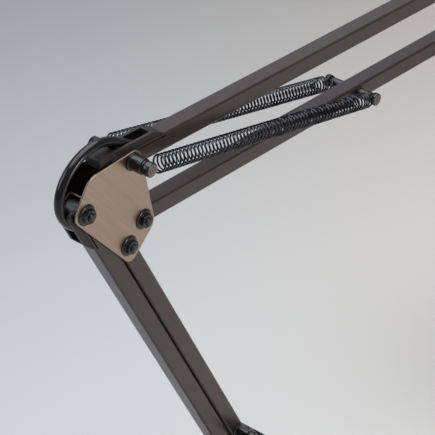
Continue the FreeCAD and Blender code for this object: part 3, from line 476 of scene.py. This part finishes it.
finishes = {
    "bars": coated("satinBronzeBlack", barLook),
    "shade": coated("shadeEnamel", shadeLook),
    "basePaint": coated("basePaint", dict(shadeLook, dust=0.06)),
    "hood": coated("hoodShadedBlack", hoodShadeLook),
    "blackSteel": coated("blackOxideSteel", steelLook),
    "spring": coated("oiledSpringWire", springLook),
    "jacket": coated("cableJacket", jacketLook),
    "plastic": coated("mouldedBlack", plasticLook),
    "nylon": coated("naturalNylon", nylonLook),
    "iron": coated("rawCasting", ironLook),
    "rubber": coated("footRubber", rubberLook),
    "steel": coated("turnedSteel", plainSteelLook),
    "brass": coated("shadedBushBrass", shadedBrassLook),
    "shell": coated("threadedShell", shellLook),
    "postEnd": coated("burnishedSteel", endLook),
    "lining": coated("whiteEnamel", liningLook),
    "plates": brushed("brushedChampagne", plateLook),
    "plateInsideShade": brushed("shadedChampagne", insideShadeLook),
    "glass": frostedGlass("frostedBulb", glassLook),
}

nodeFinish = {
    "bars": ["lower_rear_bar", "lower_front_bar", "upper_top_bar", "upper_bottom_bar"],
    "hood": ["lower_cable_hood", "upper_cable_hood"],
    "shade": ["shade", "shade_cap", "base_cover"],
    "plates": ["elbow_plate_near", "elbow_plate_far", "head_plate_near", "head_plate_far",
               "base_bracket_near", "base_bracket_far"],
    "blackSteel": ["elbow_bolts", "elbow_nuts", "elbow_spring_posts", "base_pivot_bolts", "base_pivot_nuts",
                   "base_spring_posts", "head_pivot_bolts", "head_pivot_nuts", "bracket_bolts",
                   "bracket_nuts", "lower_spring_post", "upper_spring_post", "tilt_bolt", "head_knuckle",
                   "swivel_block"],
    "steel": ["swivel_stem", "base_socket", "base_socket_nut", "elbow_spring_axle", "base_spring_axle"],
    "spring": ["lower_spring_near", "lower_spring_far", "upper_spring_near", "upper_spring_far"],
    "brass": ["lower_rear_bushes", "lower_front_bushes", "upper_top_bushes", "upper_bottom_bushes"],
    "nylon": ["elbow_washers", "head_washers", "base_pivot_washers", "swivel_washer"],
    "plastic": ["tilt_knob", "switch_knob", "switch_body", "lamp_holder", "shade_ring", "base_cable_inlet"],
    "jacket": ["elbow_cable"], "iron": ["base_weight"], "rubber": ["base_pad"],
    "glass": ["bulb_glass"], "shell": ["bulb_base"],
}
for finishName, nodeNames in nodeFinish.items():
    for nodeName in nodeNames:
        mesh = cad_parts[nodeName].data
        mesh.materials.clear()
        mesh.materials.append(finishes[finishName])
print("finishes done:", len(finishes))


def ridingPiece(name, parts, finish, body, node=None):
    # joins the parts, stands in for a node where there is one, and goes with a body
    piece = joined(name, parts, finishes[finish])
    if node:
        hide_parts(node)
    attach(piece, body)
    return piece


cableSizes = {"radius": 0.003, "sides": 20, "smoothing": 10, "middle": (-0.1895, 0, 0.5015),
              "upperStay": (-0.142, 0, 0.492), "lowerStay": (-0.2005, 0, 0.464)}
# the loop's points, from inside the top bar's hood round to inside the rear bar's
cableRoute = [(-0.118, 0, 0.4816), (-0.133, 0, 0.4836), (-0.1475, 0, 0.4915), (-0.1605, 0, 0.5005),
              (-0.173, 0, 0.5046), (-0.1855, 0, 0.5032), (-0.196, 0, 0.498), (-0.2032, 0, 0.4898),
              (-0.206, 0, 0.480), (-0.2044, 0, 0.471), (-0.199, 0, 0.463), (-0.190, 0, 0.4556),
              (-0.1815, 0, 0.446), (-0.1765, 0, 0.4362)]


def splinePoints(name, route):
    curve = bpy.data.curves.new(name, "CURVE")
    curve.dimensions = "3D"
    spline = curve.splines.new("NURBS")
    spline.points.add(len(route) - 1)
    for point, place in zip(spline.points, route):
        point.co = (*place, 1)
    spline.order_u = 3
    spline.use_endpoint_u = True
    spline.resolution_u = cableSizes["smoothing"]
    holder = bpy.data.objects.new(name, curve)
    scene.collection.objects.link(holder)
    line = bpy.data.meshes.new_from_object(holder)
    points = [v.co.copy() for v in line.vertices]
    bpy.data.objects.remove(holder)
    return points


def pathLength(points):
    return sum((b - a).length for a, b in zip(points, points[1:]))


def makeElbowCable():
    s = cableSizes
    points = splinePoints("cableLine", cableRoute)
    # the loop is made as two pieces, split at the point nearest its middle
    middle = min(range(len(points)), key=lambda i: (points[i] - Vector(s["middle"])).length)
    for name, route, body, stay in (("elbowCableUpper", points[:middle + 1], "upper_top", s["upperStay"]),
                                    ("elbowCableLower", points[middle:], "lower_rear", s["lowerStay"])):
        piece = joined(name, [tubeAlong(route, s["radius"], s["sides"])], finishes["jacket"])
        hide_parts("elbow_cable")
        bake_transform(piece)
    print("cable done: %.1f mm" % (1000 * pathLength(points)))


makeElbowCable()


springSizes = {"wire": 0.0006, "coil": 0.0052, "coilFar": 0.0051, "hook": 0.0105, "hookFar": 0.0100,
               "perTurn": 22, "sides": 7, "closeTurns": 3, "closePitch": 4.4, "upperTurns": 63,
               "lowerTurns": 39, "anchorY": 0.0181, "postY": 0.0168, "anchorNeck": 0.0032, "postNeck": 0.0026,
               "hookFrom": 40, "farHookFrom": -110, "hookSweep": 250, "hookSteps": 25, "leadSteps": 20}


def springLine(start, end, turns):
    # hook round the anchor, open coil, then a few close turns and the hook on the bar's post
    s = springSizes
    sweep, hookSteps, lead = s["hookSweep"], s["hookSteps"], s["leadSteps"]
    run = end - start
    length = run.length
    along = run.normalized()
    across = Vector((0, 1, 0))
    across = (across - along * across.dot(along)).normalized()
    up = across.cross(along)
    points = []

    def put(x, y, z):
        points.append(start + along * x + across * y + up * z)

    loop = s["anchorNeck"] + s["wire"] * 1.1
    for k in range(hookSteps + 1):
        angle = math.radians(s["hookFrom"] + sweep * k / hookSteps)
        put(loop * math.cos(angle), s["wire"] * 1.5 * (k / hookSteps - 0.5), loop * math.sin(angle))
    coilStart = s["hook"]
    leave = math.radians(s["hookFrom"] + sweep)
    firstX, firstR = loop * math.cos(leave), abs(loop * math.sin(leave))
    for k in range(1, lead):
        t = k / lead
        ease = t * t * (3 - 2 * t)
        angle = math.radians(-90 + 180 * t)
        radius = firstR + (s["coil"] - firstR) * ease
        put(firstX + (coilStart - firstX) * t, radius * math.cos(angle), radius * math.sin(angle))
    coilEnd = length - s["hookFar"]
    steps = turns * s["perTurn"]
    closeSteps = s["closeTurns"] * s["perTurn"]
    closeLength = s["closeTurns"] * s["wire"] * s["closePitch"]
    openLength = coilEnd - coilStart - closeLength
    for k in range(steps + 1):
        t = k / steps
        if k <= steps - closeSteps:
            x = coilStart + openLength * k / (steps - closeSteps)
        else:
            x = coilStart + openLength + closeLength * (k - steps + closeSteps) / closeSteps
        angle = math.radians(90) + 2 * math.pi * k / s["perTurn"]
        radius = s["coil"] + (s["coilFar"] - s["coil"]) * t
        put(x, radius * math.cos(angle), radius * math.sin(angle))
    loop = s["postNeck"] + s["wire"] * 1.1
    lastX, lastR = length - loop * 0.34, loop * 0.94  # where the far hook begins
    for k in range(1, lead):
        t = k / lead
        ease = t * t * (3 - 2 * t)
        angle = math.radians(90 + 180 * t)
        radius = s["coilFar"] + (lastR - s["coilFar"]) * ease
        put(coilEnd + (lastX - coilEnd) * t, radius * math.cos(angle), radius * math.sin(angle))
    for k in range(hookSteps + 1):
        angle = math.radians(s["farHookFrom"] + sweep * k / hookSteps)
        put(length + loop * math.cos(angle), s["wire"] * 1.5 * (k / hookSteps - 0.5), loop * math.sin(angle))
    return points


def makeSpring(name, node, start, end, turns):
    line = springLine(start, end, turns)
    piece = joined(name, [tubeAlong(line, springSizes["wire"], springSizes["sides"])], finishes["spring"])
    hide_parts(node)
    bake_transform(piece)


def makeSprings():
    s = springSizes
    for side, word in ((-1, "near"), (1, "far")):
        for name, node, bar, slide, anchor, post, turns in (
                ("upperSpring", "upper_spring_", "upper_bottom", "upper_springs", "elbowTop", "upperPost",
                 s["upperTurns"]),
                ("lowerSpring", "lower_spring_", "lower_front", "lower_springs", "lowerAnchor", "lowerPost",
                 s["lowerTurns"])):
            start = Vector((pivots[anchor][0], side * s["anchorY"], pivots[anchor][1]))
            end = Vector((pivots[post][0], side * s["postY"], pivots[post][1]))
            makeSpring(name + word.title(), node + word, start, end, turns)
    print("springs done")


makeSprings()


plateSizes = {"edge": 0.00022, "margin": 0.009, "elbowRounds": [0.010, 0.0065, 0.009, 0.006, 0.007],
              "baseRounds": [0.0035] + [0.007] * 6, "headRounds": [0.008] * 6,
              "faceSlack": 0.00005}  # how far past the inner face still counts as inside


def makePlatePair(label, nodeStem, body, corners, radii):
    outline = roundedOutline(corners, radii)
    for word, low, high in (("near", -plateOuter, -plateInner), ("far", plateInner, plateOuter)):
        piece = ridingPiece(label + word.title(), [plateSolid(outline, low, high, plateSizes["edge"])],
                            "plates", body, nodeStem + word)
        # painted shade: the sides that face each other get a darker, dull champagne, for the shade between
        # the plates
        piece.data.materials.append(finishes["plateInsideShade"])
        for face in piece.data.polygons:
            if abs(face.center.y) < plateInner + plateSizes["faceSlack"]:
                face.material_index = 1


def makePlates():
    m = plateSizes["margin"]
    rear, top = pivots["elbowRear"], pivots["elbowTop"]
    bottom, front = pivots["elbowBottom"], pivots["elbowFront"]
    corners = [(rear[0] + 0.0045, top[1] + 0.0061), (top[0] + 0.0067, top[1] + 0.0061),
               (bottom[0] + 0.0103, bottom[1] - 0.007), (front[0] + 0.0013, front[1] - 0.0148),
               (rear[0] - 0.0104, rear[1] + 0.0005)]
    makePlatePair("elbowPlate", "elbow_plate_", "elbow", corners, plateSizes["elbowRounds"])
    foot, anchor = pivots["footRear"], pivots["lowerAnchor"]
    corners = [(-0.015, 0.038), (0.015, 0.038), (anchor[0] + 0.010, anchor[1] - 0.008),
               (anchor[0] + 0.010, anchor[1] + m), (foot[0] + 0.008, foot[1] + m),
               (foot[0] - 0.012, foot[1] + m), (foot[0] - 0.012, foot[1] - 0.012)]
    makePlatePair("basePlate", "base_bracket_", "swivel", corners, plateSizes["baseRounds"])
    high, low, tilt = pivots["headTop"], pivots["headBottom"], pivots["tilt"]
    corners = [(high[0] - m, high[1] + m), (high[0] + m, high[1] + m), (tilt[0] + m, tilt[1] + m),
               (tilt[0] + m, tilt[1] - m), (low[0] + 0.0045, low[1] - m), (low[0] - m, low[1] - m)]
    makePlatePair("headPlate", "head_plate_", "head_bracket", corners, plateSizes["headRounds"])
    print("plates done")


makePlates()


shadowPlugSizes = {"inner": 0.0041, "outer": 0.00575, "halfWidth": 0.0049, "round": 0.0005,
             "sweep": 196, "steps": 28, "lowerLean": 116, "upperLean": -4.4}  # angles in degrees


def shadowPlug(pivot, facing):
    # painted shade: a dark half-round plug in a tube's end, round the bush, put where the tube's inside lies
    # in shade. facing is its direction in the XZ plane, in degrees
    s = shadowPlugSizes
    section = [(s["inner"], -s["halfWidth"]), (s["outer"] - s["round"], -s["halfWidth"]),
               (s["outer"], -s["halfWidth"] + s["round"]), (s["outer"], s["halfWidth"] - s["round"]),
               (s["outer"] - s["round"], s["halfWidth"]), (s["inner"], s["halfWidth"])]
    verts = []
    steps = s["steps"]
    for k in range(steps + 1):
        angle = math.radians(facing - s["sweep"] / 2 + s["sweep"] * k / steps)
        for radius, y in section:
            verts.append(Vector((pivot[0] + radius * math.cos(angle), y,
                                 pivot[1] + radius * math.sin(angle))))
    faces = ringFaces(steps + 1, len(section))
    faces.append(tuple(reversed(range(len(section)))))
    faces.append(tuple(range(steps * len(section), (steps + 1) * len(section))))
    return verts, faces


def makeShadowPlugs():
    # painted shade: the same dark plug closes both ends of all four tubes, where their insides lie in shade
    down, up = shadowPlugSizes["lowerLean"], shadowPlugSizes["upperLean"]
    for name, low, high, lean, body in (("rearBarShadowPlugs", "footRear", "elbowRear", down, "lower_rear"),
                                        ("frontBarShadowPlugs", "footFront", "elbowFront", down, "lower_front"),
                                        ("bottomBarShadowPlugs", "elbowBottom", "headBottom", up, "upper_bottom"),
                                        ("topBarShadowPlugs", "elbowTop", "headTop", up, "upper_top")):
        parts = [shadowPlug(pivots[low], lean + 180), shadowPlug(pivots[high], lean)]
        ridingPiece(name, parts, "plastic", body)
    print("tube plugs done")


makeShadowPlugs()


fastenerSizes = {"across": 0.00848, "flange": 0.0066, "flangeHeight": 0.001, "hexHeight": 0.003,
                 "shank": 0.0025, "tip": 0.0011, "pitch": 0.00062, "threadDepth": 0.00022,
                 "button": 0.0044, "buttonHeight": 0.0022, "socket": 0.0017, "nutChamfer": 0.0005,
                 "sunk": 0.001, "through": 0.0182}


def threadProfile(radius, bottom, top, end):
    # rolled thread as rings, with a rounded end
    s = fastenerSizes
    profile = []
    height = bottom
    while height < top - s["pitch"]:
        profile += [(radius - s["threadDepth"], height), (radius, height + s["pitch"] * 0.45),
                    (radius, height + s["pitch"] * 0.6)]
        height += s["pitch"]
    profile += [(radius - s["threadDepth"], height), (radius, height + s["pitch"] * 0.4),
                (radius * 0.93, end - 0.00045), (radius * 0.8, end - 0.00018), (radius * 0.55, end - 0.00004),
                (0, end)]
    return profile


def flangeProfile(radius, height):
    return [(0, 0), (radius - 0.0002, 0), (radius, 0.0002), (radius, height * 0.45),
            (radius - 0.00035, height * 0.75), (radius - 0.0011, height), (0.002, height + 0.0003)]


def flangeNut(x, z, face, turn):
    s = fastenerSizes
    place = acrossArm(x, -face, z, -1) @ Matrix.Rotation(math.radians(turn), 4, "Z")
    top = s["flangeHeight"] + s["hexHeight"]
    return [lathe(flangeProfile(s["flange"], s["flangeHeight"]), 48, place),
            hexagon(s["across"], s["flangeHeight"] * 0.8, top, s["nutChamfer"], s["shank"] * 0.98, 72, place)]


def boltEnd(x, z, face):
    s = fastenerSizes
    top = s["flangeHeight"] + s["hexHeight"]
    end = top + s["tip"]
    place = acrossArm(x, -face, z, -1)
    return [lathe(threadProfile(s["shank"] - 0.0001, top - 0.0012, end - 0.0006, end), 32, place)]


def boltHead(x, z, face, turn):
    # low button head with a hexagon socket
    s = fastenerSizes
    place = acrossArm(x, face, z, 1) @ Matrix.Rotation(math.radians(turn), 4, "Z")
    edge, top, socket = s["button"], s["buttonHeight"], s["socket"]
    dome = [(0, 0), (edge, 0), (edge, top * 0.3), (edge * 0.95, top * 0.55), (edge * 0.8, top * 0.82),
            (edge * 0.6, top * 0.96), (socket * 1.2, top), (socket * 1.1, top - 0.0001)]
    hole = [(socket * 1.1, top - 0.0001), (socket, top - 0.0003), (socket, top * 0.4), (0, top * 0.34)]
    return [lathe(dome, 48, place), lathe(hole, 6, place)]


def makeFasteners():
    # each nut sits at its own turn, as tightened by hand
    s = fastenerSizes
    groups = [("elbow", ["elbowRear", "elbowBottom", "elbowFront"], "elbow_nuts", "elbow_bolts", "elbow"),
              ("basePivot", ["footRear", "footFront"], "base_pivot_nuts", "base_pivot_bolts", "swivel"),
              ("headPivot", ["headBottom", "headTop"], "head_pivot_nuts", "head_pivot_bolts", "head_bracket")]
    for label, spots, nutNode, boltNode, body in groups:
        nutParts = []
        boltParts = []
        for i, spot in enumerate(spots):
            x, z = pivots[spot]
            nutParts += flangeNut(x, z, plateOuter, 13 + 24 * i)
            boltParts += boltEnd(x, z, plateOuter) + boltHead(x, z, plateOuter, 7 + 19 * i)
            boltParts.append(lathe([(s["shank"], -s["sunk"]), (s["shank"], s["through"])], 32,
                                   acrossArm(x, plateOuter + s["sunk"], z, -1)))
        ridingPiece(label + "Nuts", nutParts, "blackSteel", body, nutNode)
        ridingPiece(label + "Bolts", boltParts, "blackSteel", body, boltNode)


smallSizes = {"across": 0.00672, "height": 0.0028, "shank": 0.00195, "chamfer": 0.0004, "sunk": 0.0168,
              "recess": 0.0012, "spots": [(-0.0096, 0.046), (0.0096, 0.046)]}


def makeSmallFasteners():
    # the two small bolts that hold the bracket's plates to the swivelling block
    s = smallSizes
    shank, top = s["shank"], s["height"]
    nutParts = []
    boltParts = []
    for i, (x, z) in enumerate(s["spots"]):
        near = acrossArm(x, -plateOuter, z, -1) @ Matrix.Rotation(math.radians(9 + 31 * i), 4, "Z")
        far = acrossArm(x, plateOuter, z, 1) @ Matrix.Rotation(math.radians(22 + 17 * i), 4, "Z")
        nutParts.append(hexagon(s["across"], 0, top, s["chamfer"], shank, 60, near))
        boltParts.append(lathe([(shank, -s["sunk"]), (shank, top - 0.0006), (shank * 0.9, top - 0.0002),
                                (shank * 0.6, top), (0, top)], 28, near))
        boltParts.append(hexagon(s["across"], 0, top, s["chamfer"], s["recess"], 60, far))
        boltParts.append(lathe([(0.0014, top - 0.0003), (s["recess"], top - 0.0005), (0, top - 0.0005)],
                               28, far))
    ridingPiece("bracketNuts", nutParts, "blackSteel", "swivel", "bracket_nuts")
    ridingPiece("bracketBolts", boltParts, "blackSteel", "swivel", "bracket_bolts")


# the posts on the side plates, and the smaller ones on the bars
postSizes = {"base": plateOuter, "flange": 0.0058, "flangeHeight": 0.0012, "shank": 0.005, "neck": 0.0032,
             "head": 0.0045, "neckInner": 0.0172, "neckOuter": 0.019, "reach": 0.0233, "segments": 56}
barPostSizes = {"base": halfBar, "flange": 0.0048, "flangeHeight": 0.0008, "shank": 0.0035, "neck": 0.0026,
                "head": 0.0043, "neckInner": 0.0159, "neckOuter": 0.0177, "reach": 0.0211, "segments": 48}
postRounds = {"edge": 0.0003, "rim": 0.00055}


def postProfile(s):
    edge, rim = postRounds["edge"], postRounds["rim"]
    flange, step, shank, neck, head = s["flange"], s["flangeHeight"], s["shank"], s["neck"], s["head"]
    inner, outer, top = s["neckInner"] - s["base"], s["neckOuter"] - s["base"], s["reach"] - s["base"]
    return [(0, 0), (flange - edge, 0), (flange, edge), (flange, step - edge), (flange - edge, step),
            (shank + edge, step), (shank, step + edge), (shank, inner - edge), (shank - edge, inner),
            (neck + edge, inner + edge), (neck, inner + edge * 2), (neck, outer - edge * 2),
            (neck + edge, outer - edge), (head - edge, outer), (head, outer + edge), (head, top - rim),
            (head - rim * 0.35, top - rim * 0.35), (head - rim, top), (0, top)]


def makePostEnds(name, s, x, z, body):
    # the faced end of each post, rubbed bright, with the small ring that turning leaves
    rim = s["head"] - 0.0006
    face = [(rim, -0.0002), (rim, 0.00002), (rim * 0.55, 0.00004), (rim * 0.5, -0.00002),
            (rim * 0.45, 0.00004), (rim * 0.12, 0.00003), (0, -0.00012)]
    parts = [lathe(face, 40, acrossArm(x, side * (s["reach"] - 0.00002), z, side)) for side in (-1, 1)]
    ridingPiece(name, parts, "postEnd", body)


def makePosts():
    for name, spot, node, body, s in (
            ("elbowSpringPosts", "elbowTop", "elbow_spring_posts", "elbow", postSizes),
            ("baseSpringPosts", "lowerAnchor", "base_spring_posts", "swivel", postSizes),
            ("upperSpringPost", "upperPost", "upper_spring_post", "upper_bottom", barPostSizes),
            ("lowerSpringPost", "lowerPost", "lower_spring_post", "lower_front", barPostSizes)):
        x, z = pivots[spot]
        parts = [lathe(postProfile(s), s["segments"], acrossArm(x, side * s["base"], z, side))
                 for side in (-1, 1)]
        ridingPiece(name, parts, "blackSteel", body, node)
        makePostEnds(name + "Faces", s, x, z, body)


makeFasteners()
makeSmallFasteners()
makePosts()
print("fasteners done")


def smoothProfile(points, steps=8):
    # rounded line through (radius, height) points
    result = []
    for i in range(len(points) - 1):
        p0, p1, p2, p3 = (Vector(points[min(max(i + k, 0), len(points) - 1)]) for k in (-1, 0, 1, 2))
        for k in range(steps):
            t = k / steps
            result.append(0.5 * ((2 * p1) + (p2 - p0) * t + (2 * p0 - 5 * p1 + 4 * p2 - p3) * t ** 2
                                 + (3 * p1 - p0 - 3 * p2 + p3) * t ** 3))
    result.append(Vector(points[-1]))
    return [(p.x, p.y) for p in result]


shadeSizes = {"wall": 0.001, "hem": 0.0011, "lining": 0.00012, "mouth": 0.0800, "neck": 0.0195,
              "segments": 128,
              "profile": [(0.0262, -0.0002), (0.032, -0.0031), (0.0400, -0.0086), (0.0500, -0.0202),
                          (0.0580, -0.0330), (0.0656, -0.0490), (0.0710, -0.0645), (0.0750, -0.0800),
                          (0.0773, -0.0942), (0.0788, -0.1060), (0.0795, -0.1158)]}


def makeShade():
    s = shadeSizes
    low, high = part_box("shade")
    place = Matrix.Translation((pivots["shade"][0], 0, high.z))
    outer = smoothProfile(s["profile"])
    height = low.z - high.z
    hem = []
    for k in range(13):
        angle = math.radians(60 - 300 * k / 12)
        hem.append((s["mouth"] - s["hem"] + s["hem"] * math.cos(angle),
                    height + s["hem"] + s["hem"] * math.sin(angle)))
    inner = [(radius - s["wall"], z - s["wall"] * 0.4) for radius, z in reversed(outer[:-2])]
    bell = [(s["neck"], -0.0002)] + outer + hem + inner + [(s["neck"], -0.001)]
    ridingPiece("shadeBell", [lathe(bell + [bell[0]], s["segments"], place)], "shade", "head",
                "shade")
    # white enamel on the inside
    lining = [(radius - s["lining"], z - s["lining"]) for radius, z in inner]
    ridingPiece("shadeLining", [lathe(lining, s["segments"], place)], "lining", "head")


bulbSizes = {"pear": [(0.0, 0.0), (0.0075, 0.0009), (0.0145, 0.0037), (0.0215, 0.0089), (0.0268, 0.0162),
                      (0.0296, 0.0250), (0.0297, 0.0330), (0.0277, 0.0415), (0.0238, 0.0500),
                      (0.0190, 0.0575), (0.0155, 0.0630), (0.0139, 0.0690), (0.0137, 0.0790),
                      (0.0134, 0.0815)],
             "pitch": 0.0036, "threadStop": 0.0045, "segments": 64}


def makeBulb():
    s = bulbSizes
    x = pivots["shade"][0]
    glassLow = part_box("bulb_glass")[0]
    pear = lathe(smoothProfile(s["pear"], 5), s["segments"], Matrix.Translation((x, 0, glassLow.z)))
    ridingPiece("bulbPear", [pear], "glass", "head", "bulb_glass")
    low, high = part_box("bulb_base")
    thread = [(0.0126, low.z)]
    height = low.z
    while height < high.z - s["threadStop"]:
        thread += [(0.0125, height + 0.0004), (0.0132, height + 0.0014), (0.0133, height + 0.0019),
                   (0.0126, height + 0.0030)]
        height += s["pitch"]
    thread += [(0.0118, high.z - 0.002), (0.0060, high.z - 0.0006), (0.0, high.z - 0.0004)]
    shell = lathe(thread, s["segments"], Matrix.Translation((x, 0, 0)))
    ridingPiece("bulbShell", [shell], "shell", "head", "bulb_base")


coverSizes = {"wall": 0.0011, "segments": 160,
              "profile": [(0.0081, 0.02645), (0.030, 0.0263), (0.060, 0.0256), (0.085, 0.0249),
                          (0.098, 0.0243), (0.1055, 0.0235), (0.1100, 0.0218), (0.1130, 0.0186),
                          (0.1145, 0.0148), (0.11495, 0.0100), (0.11495, 0.0060), (0.11495, 0.0016)]}


def makeBase():
    s = coverSizes
    outer = smoothProfile(s["profile"], 6)
    inner = [(radius - s["wall"], z - s["wall"]) for radius, z in reversed(outer[2:-1])]
    ring = outer + [(0.1138, 0.0016)] + inner + [(0.0081, 0.0253)]
    ridingPiece("baseCover", [lathe(ring + [ring[0]], s["segments"])], "basePaint", "root",
                "base_cover")


makeShade()
makeBulb()
makeBase()
print("shade, bulb and base done")


# the floor colours and tints below are painted light and shade
stageLook = {"nearLitColour": (0.555, 0.555, 0.555, 1), "farShadedColour": (0.31, 0.303, 0.30, 1), "size": 7.0,
             "coolLightTint": (0.95, 1.0, 1.06, 1), "warmLightTint": (1.32, 1.27, 1.22, 1), "away": (0.773, 0.635, 0),
             "sideways": (0.635, -0.773, 0), "skyColour": (0.86, 0.93, 1.0, 1), "skyStrength": 0.24}
# name, place, what it points at, size, energy, colour and, for an oblong one, height
lightLooks = [("overheadSoft", (0.3, 0.2, 2.4), (0.2, 0.05, 0.1), 2.8, 60, (1.0, 0.985, 0.96), None),
              ("leftCool", (-1.6, 1.3, 1.5), (-0.2, 0.2, 0.1), 1.6, 20, (0.86, 0.93, 1.0), None),
              ("rearCool", (1.7, 1.8, 1.8), (0.0, 0.0, 0.4), 2.4, 7, (0.78, 0.86, 1.0), None),
              ("stripWarm", (0.42, -1.6, 0.36), (-0.15, 0, 0.44), 0.16, 5, (1.0, 0.96, 0.92), 0.7)]
cameraLook = {"azimuth": -50.6, "elevation": 35.0, "sensor": 36, "lens": 148.97,
              "fromElbow": (-0.5953, -0.5925, 0.5803)}


def makeFloor():
    half = stageLook["size"]
    material, tree, shader = startMaterial("paleFloor", Roughness=0.85)
    where = addNode(tree, "ShaderNodeTexCoord").outputs["Object"]
    # painted light and shade: the floor's colour is lighter at the front and darker away from it, and tinted
    # cool to one side and warmer and brighter to the other
    away = addNode(tree, "ShaderNodeVectorMath", {"operation": "DOT_PRODUCT"})
    tree.links.new(where, away.inputs[0])
    away.inputs[1].default_value = stageLook["away"]
    sideways = addNode(tree, "ShaderNodeVectorMath", {"operation": "DOT_PRODUCT"})
    tree.links.new(where, sideways.inputs[0])
    sideways.inputs[1].default_value = stageLook["sideways"]
    tone = mixColour(tree, rangeNode(tree, away.outputs["Value"], 0.05, 1.0, 0.0, 1.0),
                     stageLook["nearLitColour"], stageLook["farShadedColour"])
    tint = mixColour(tree, rangeNode(tree, sideways.outputs["Value"], -0.3, 0.25, 0.0, 1.0),
                     stageLook["coolLightTint"], stageLook["warmLightTint"])
    coloured = addNode(tree, "ShaderNodeVectorMath", {"operation": "MULTIPLY"})
    tree.links.new(tone, coloured.inputs[0])
    tree.links.new(tint, coloured.inputs[1])
    tree.links.new(coloured.outputs[0], shader.inputs["Base Color"])
    floor = meshPiece("floor", [(-half, -half, 0), (half, -half, 0), (half, half, 0), (-half, half, 0)],
                      [(0, 1, 2, 3)], material, smooth=False)


def makeLight(name, place, target, size, energy, colour, height):
    light = bpy.data.lights.new(name, "AREA")
    light.shape = "RECTANGLE" if height else "DISK"
    light.size = size
    if height:
        light.size_y = height
    light.energy = energy
    light.color = colour
    holder = bpy.data.objects.new(name, light)
    holder.location = place
    holder.rotation_mode = "QUATERNION"
    holder.rotation_quaternion = (Vector(target) - Vector(place)).to_track_quat("-Z", "Y")
    scene.collection.objects.link(holder)


def makeWorld():
    world = bpy.data.worlds.new("studio")
    world.use_nodes = True
    background = world.node_tree.nodes["Background"]
    background.inputs["Color"].default_value = stageLook["skyColour"]
    background.inputs["Strength"].default_value = stageLook["skyStrength"]
    scene.world = world


def makeCamera():
    look = cameraLook
    azimuth, elevation = math.radians(look["azimuth"]), math.radians(look["elevation"])
    back = Vector((math.sin(azimuth) * math.cos(elevation), -math.cos(azimuth) * math.cos(elevation),
                   math.sin(elevation)))
    data = bpy.data.cameras.new("camera")
    data.sensor_width = look["sensor"]
    data.lens = look["lens"]
    camera = bpy.data.objects.new("camera", data)
    rear, offset = pivots["elbowRear"], look["fromElbow"]
    camera.location = (rear[0] + offset[0], offset[1], rear[1] + offset[2])
    camera.rotation_mode = "QUATERNION"
    camera.rotation_quaternion = (-back).to_track_quat("-Z", "Y")
    scene.collection.objects.link(camera)
    scene.camera = camera


makeFloor()
for lightLook in lightLooks:
    makeLight(*lightLook)
makeWorld()
makeCamera()
print("stage done")

print("scene done")
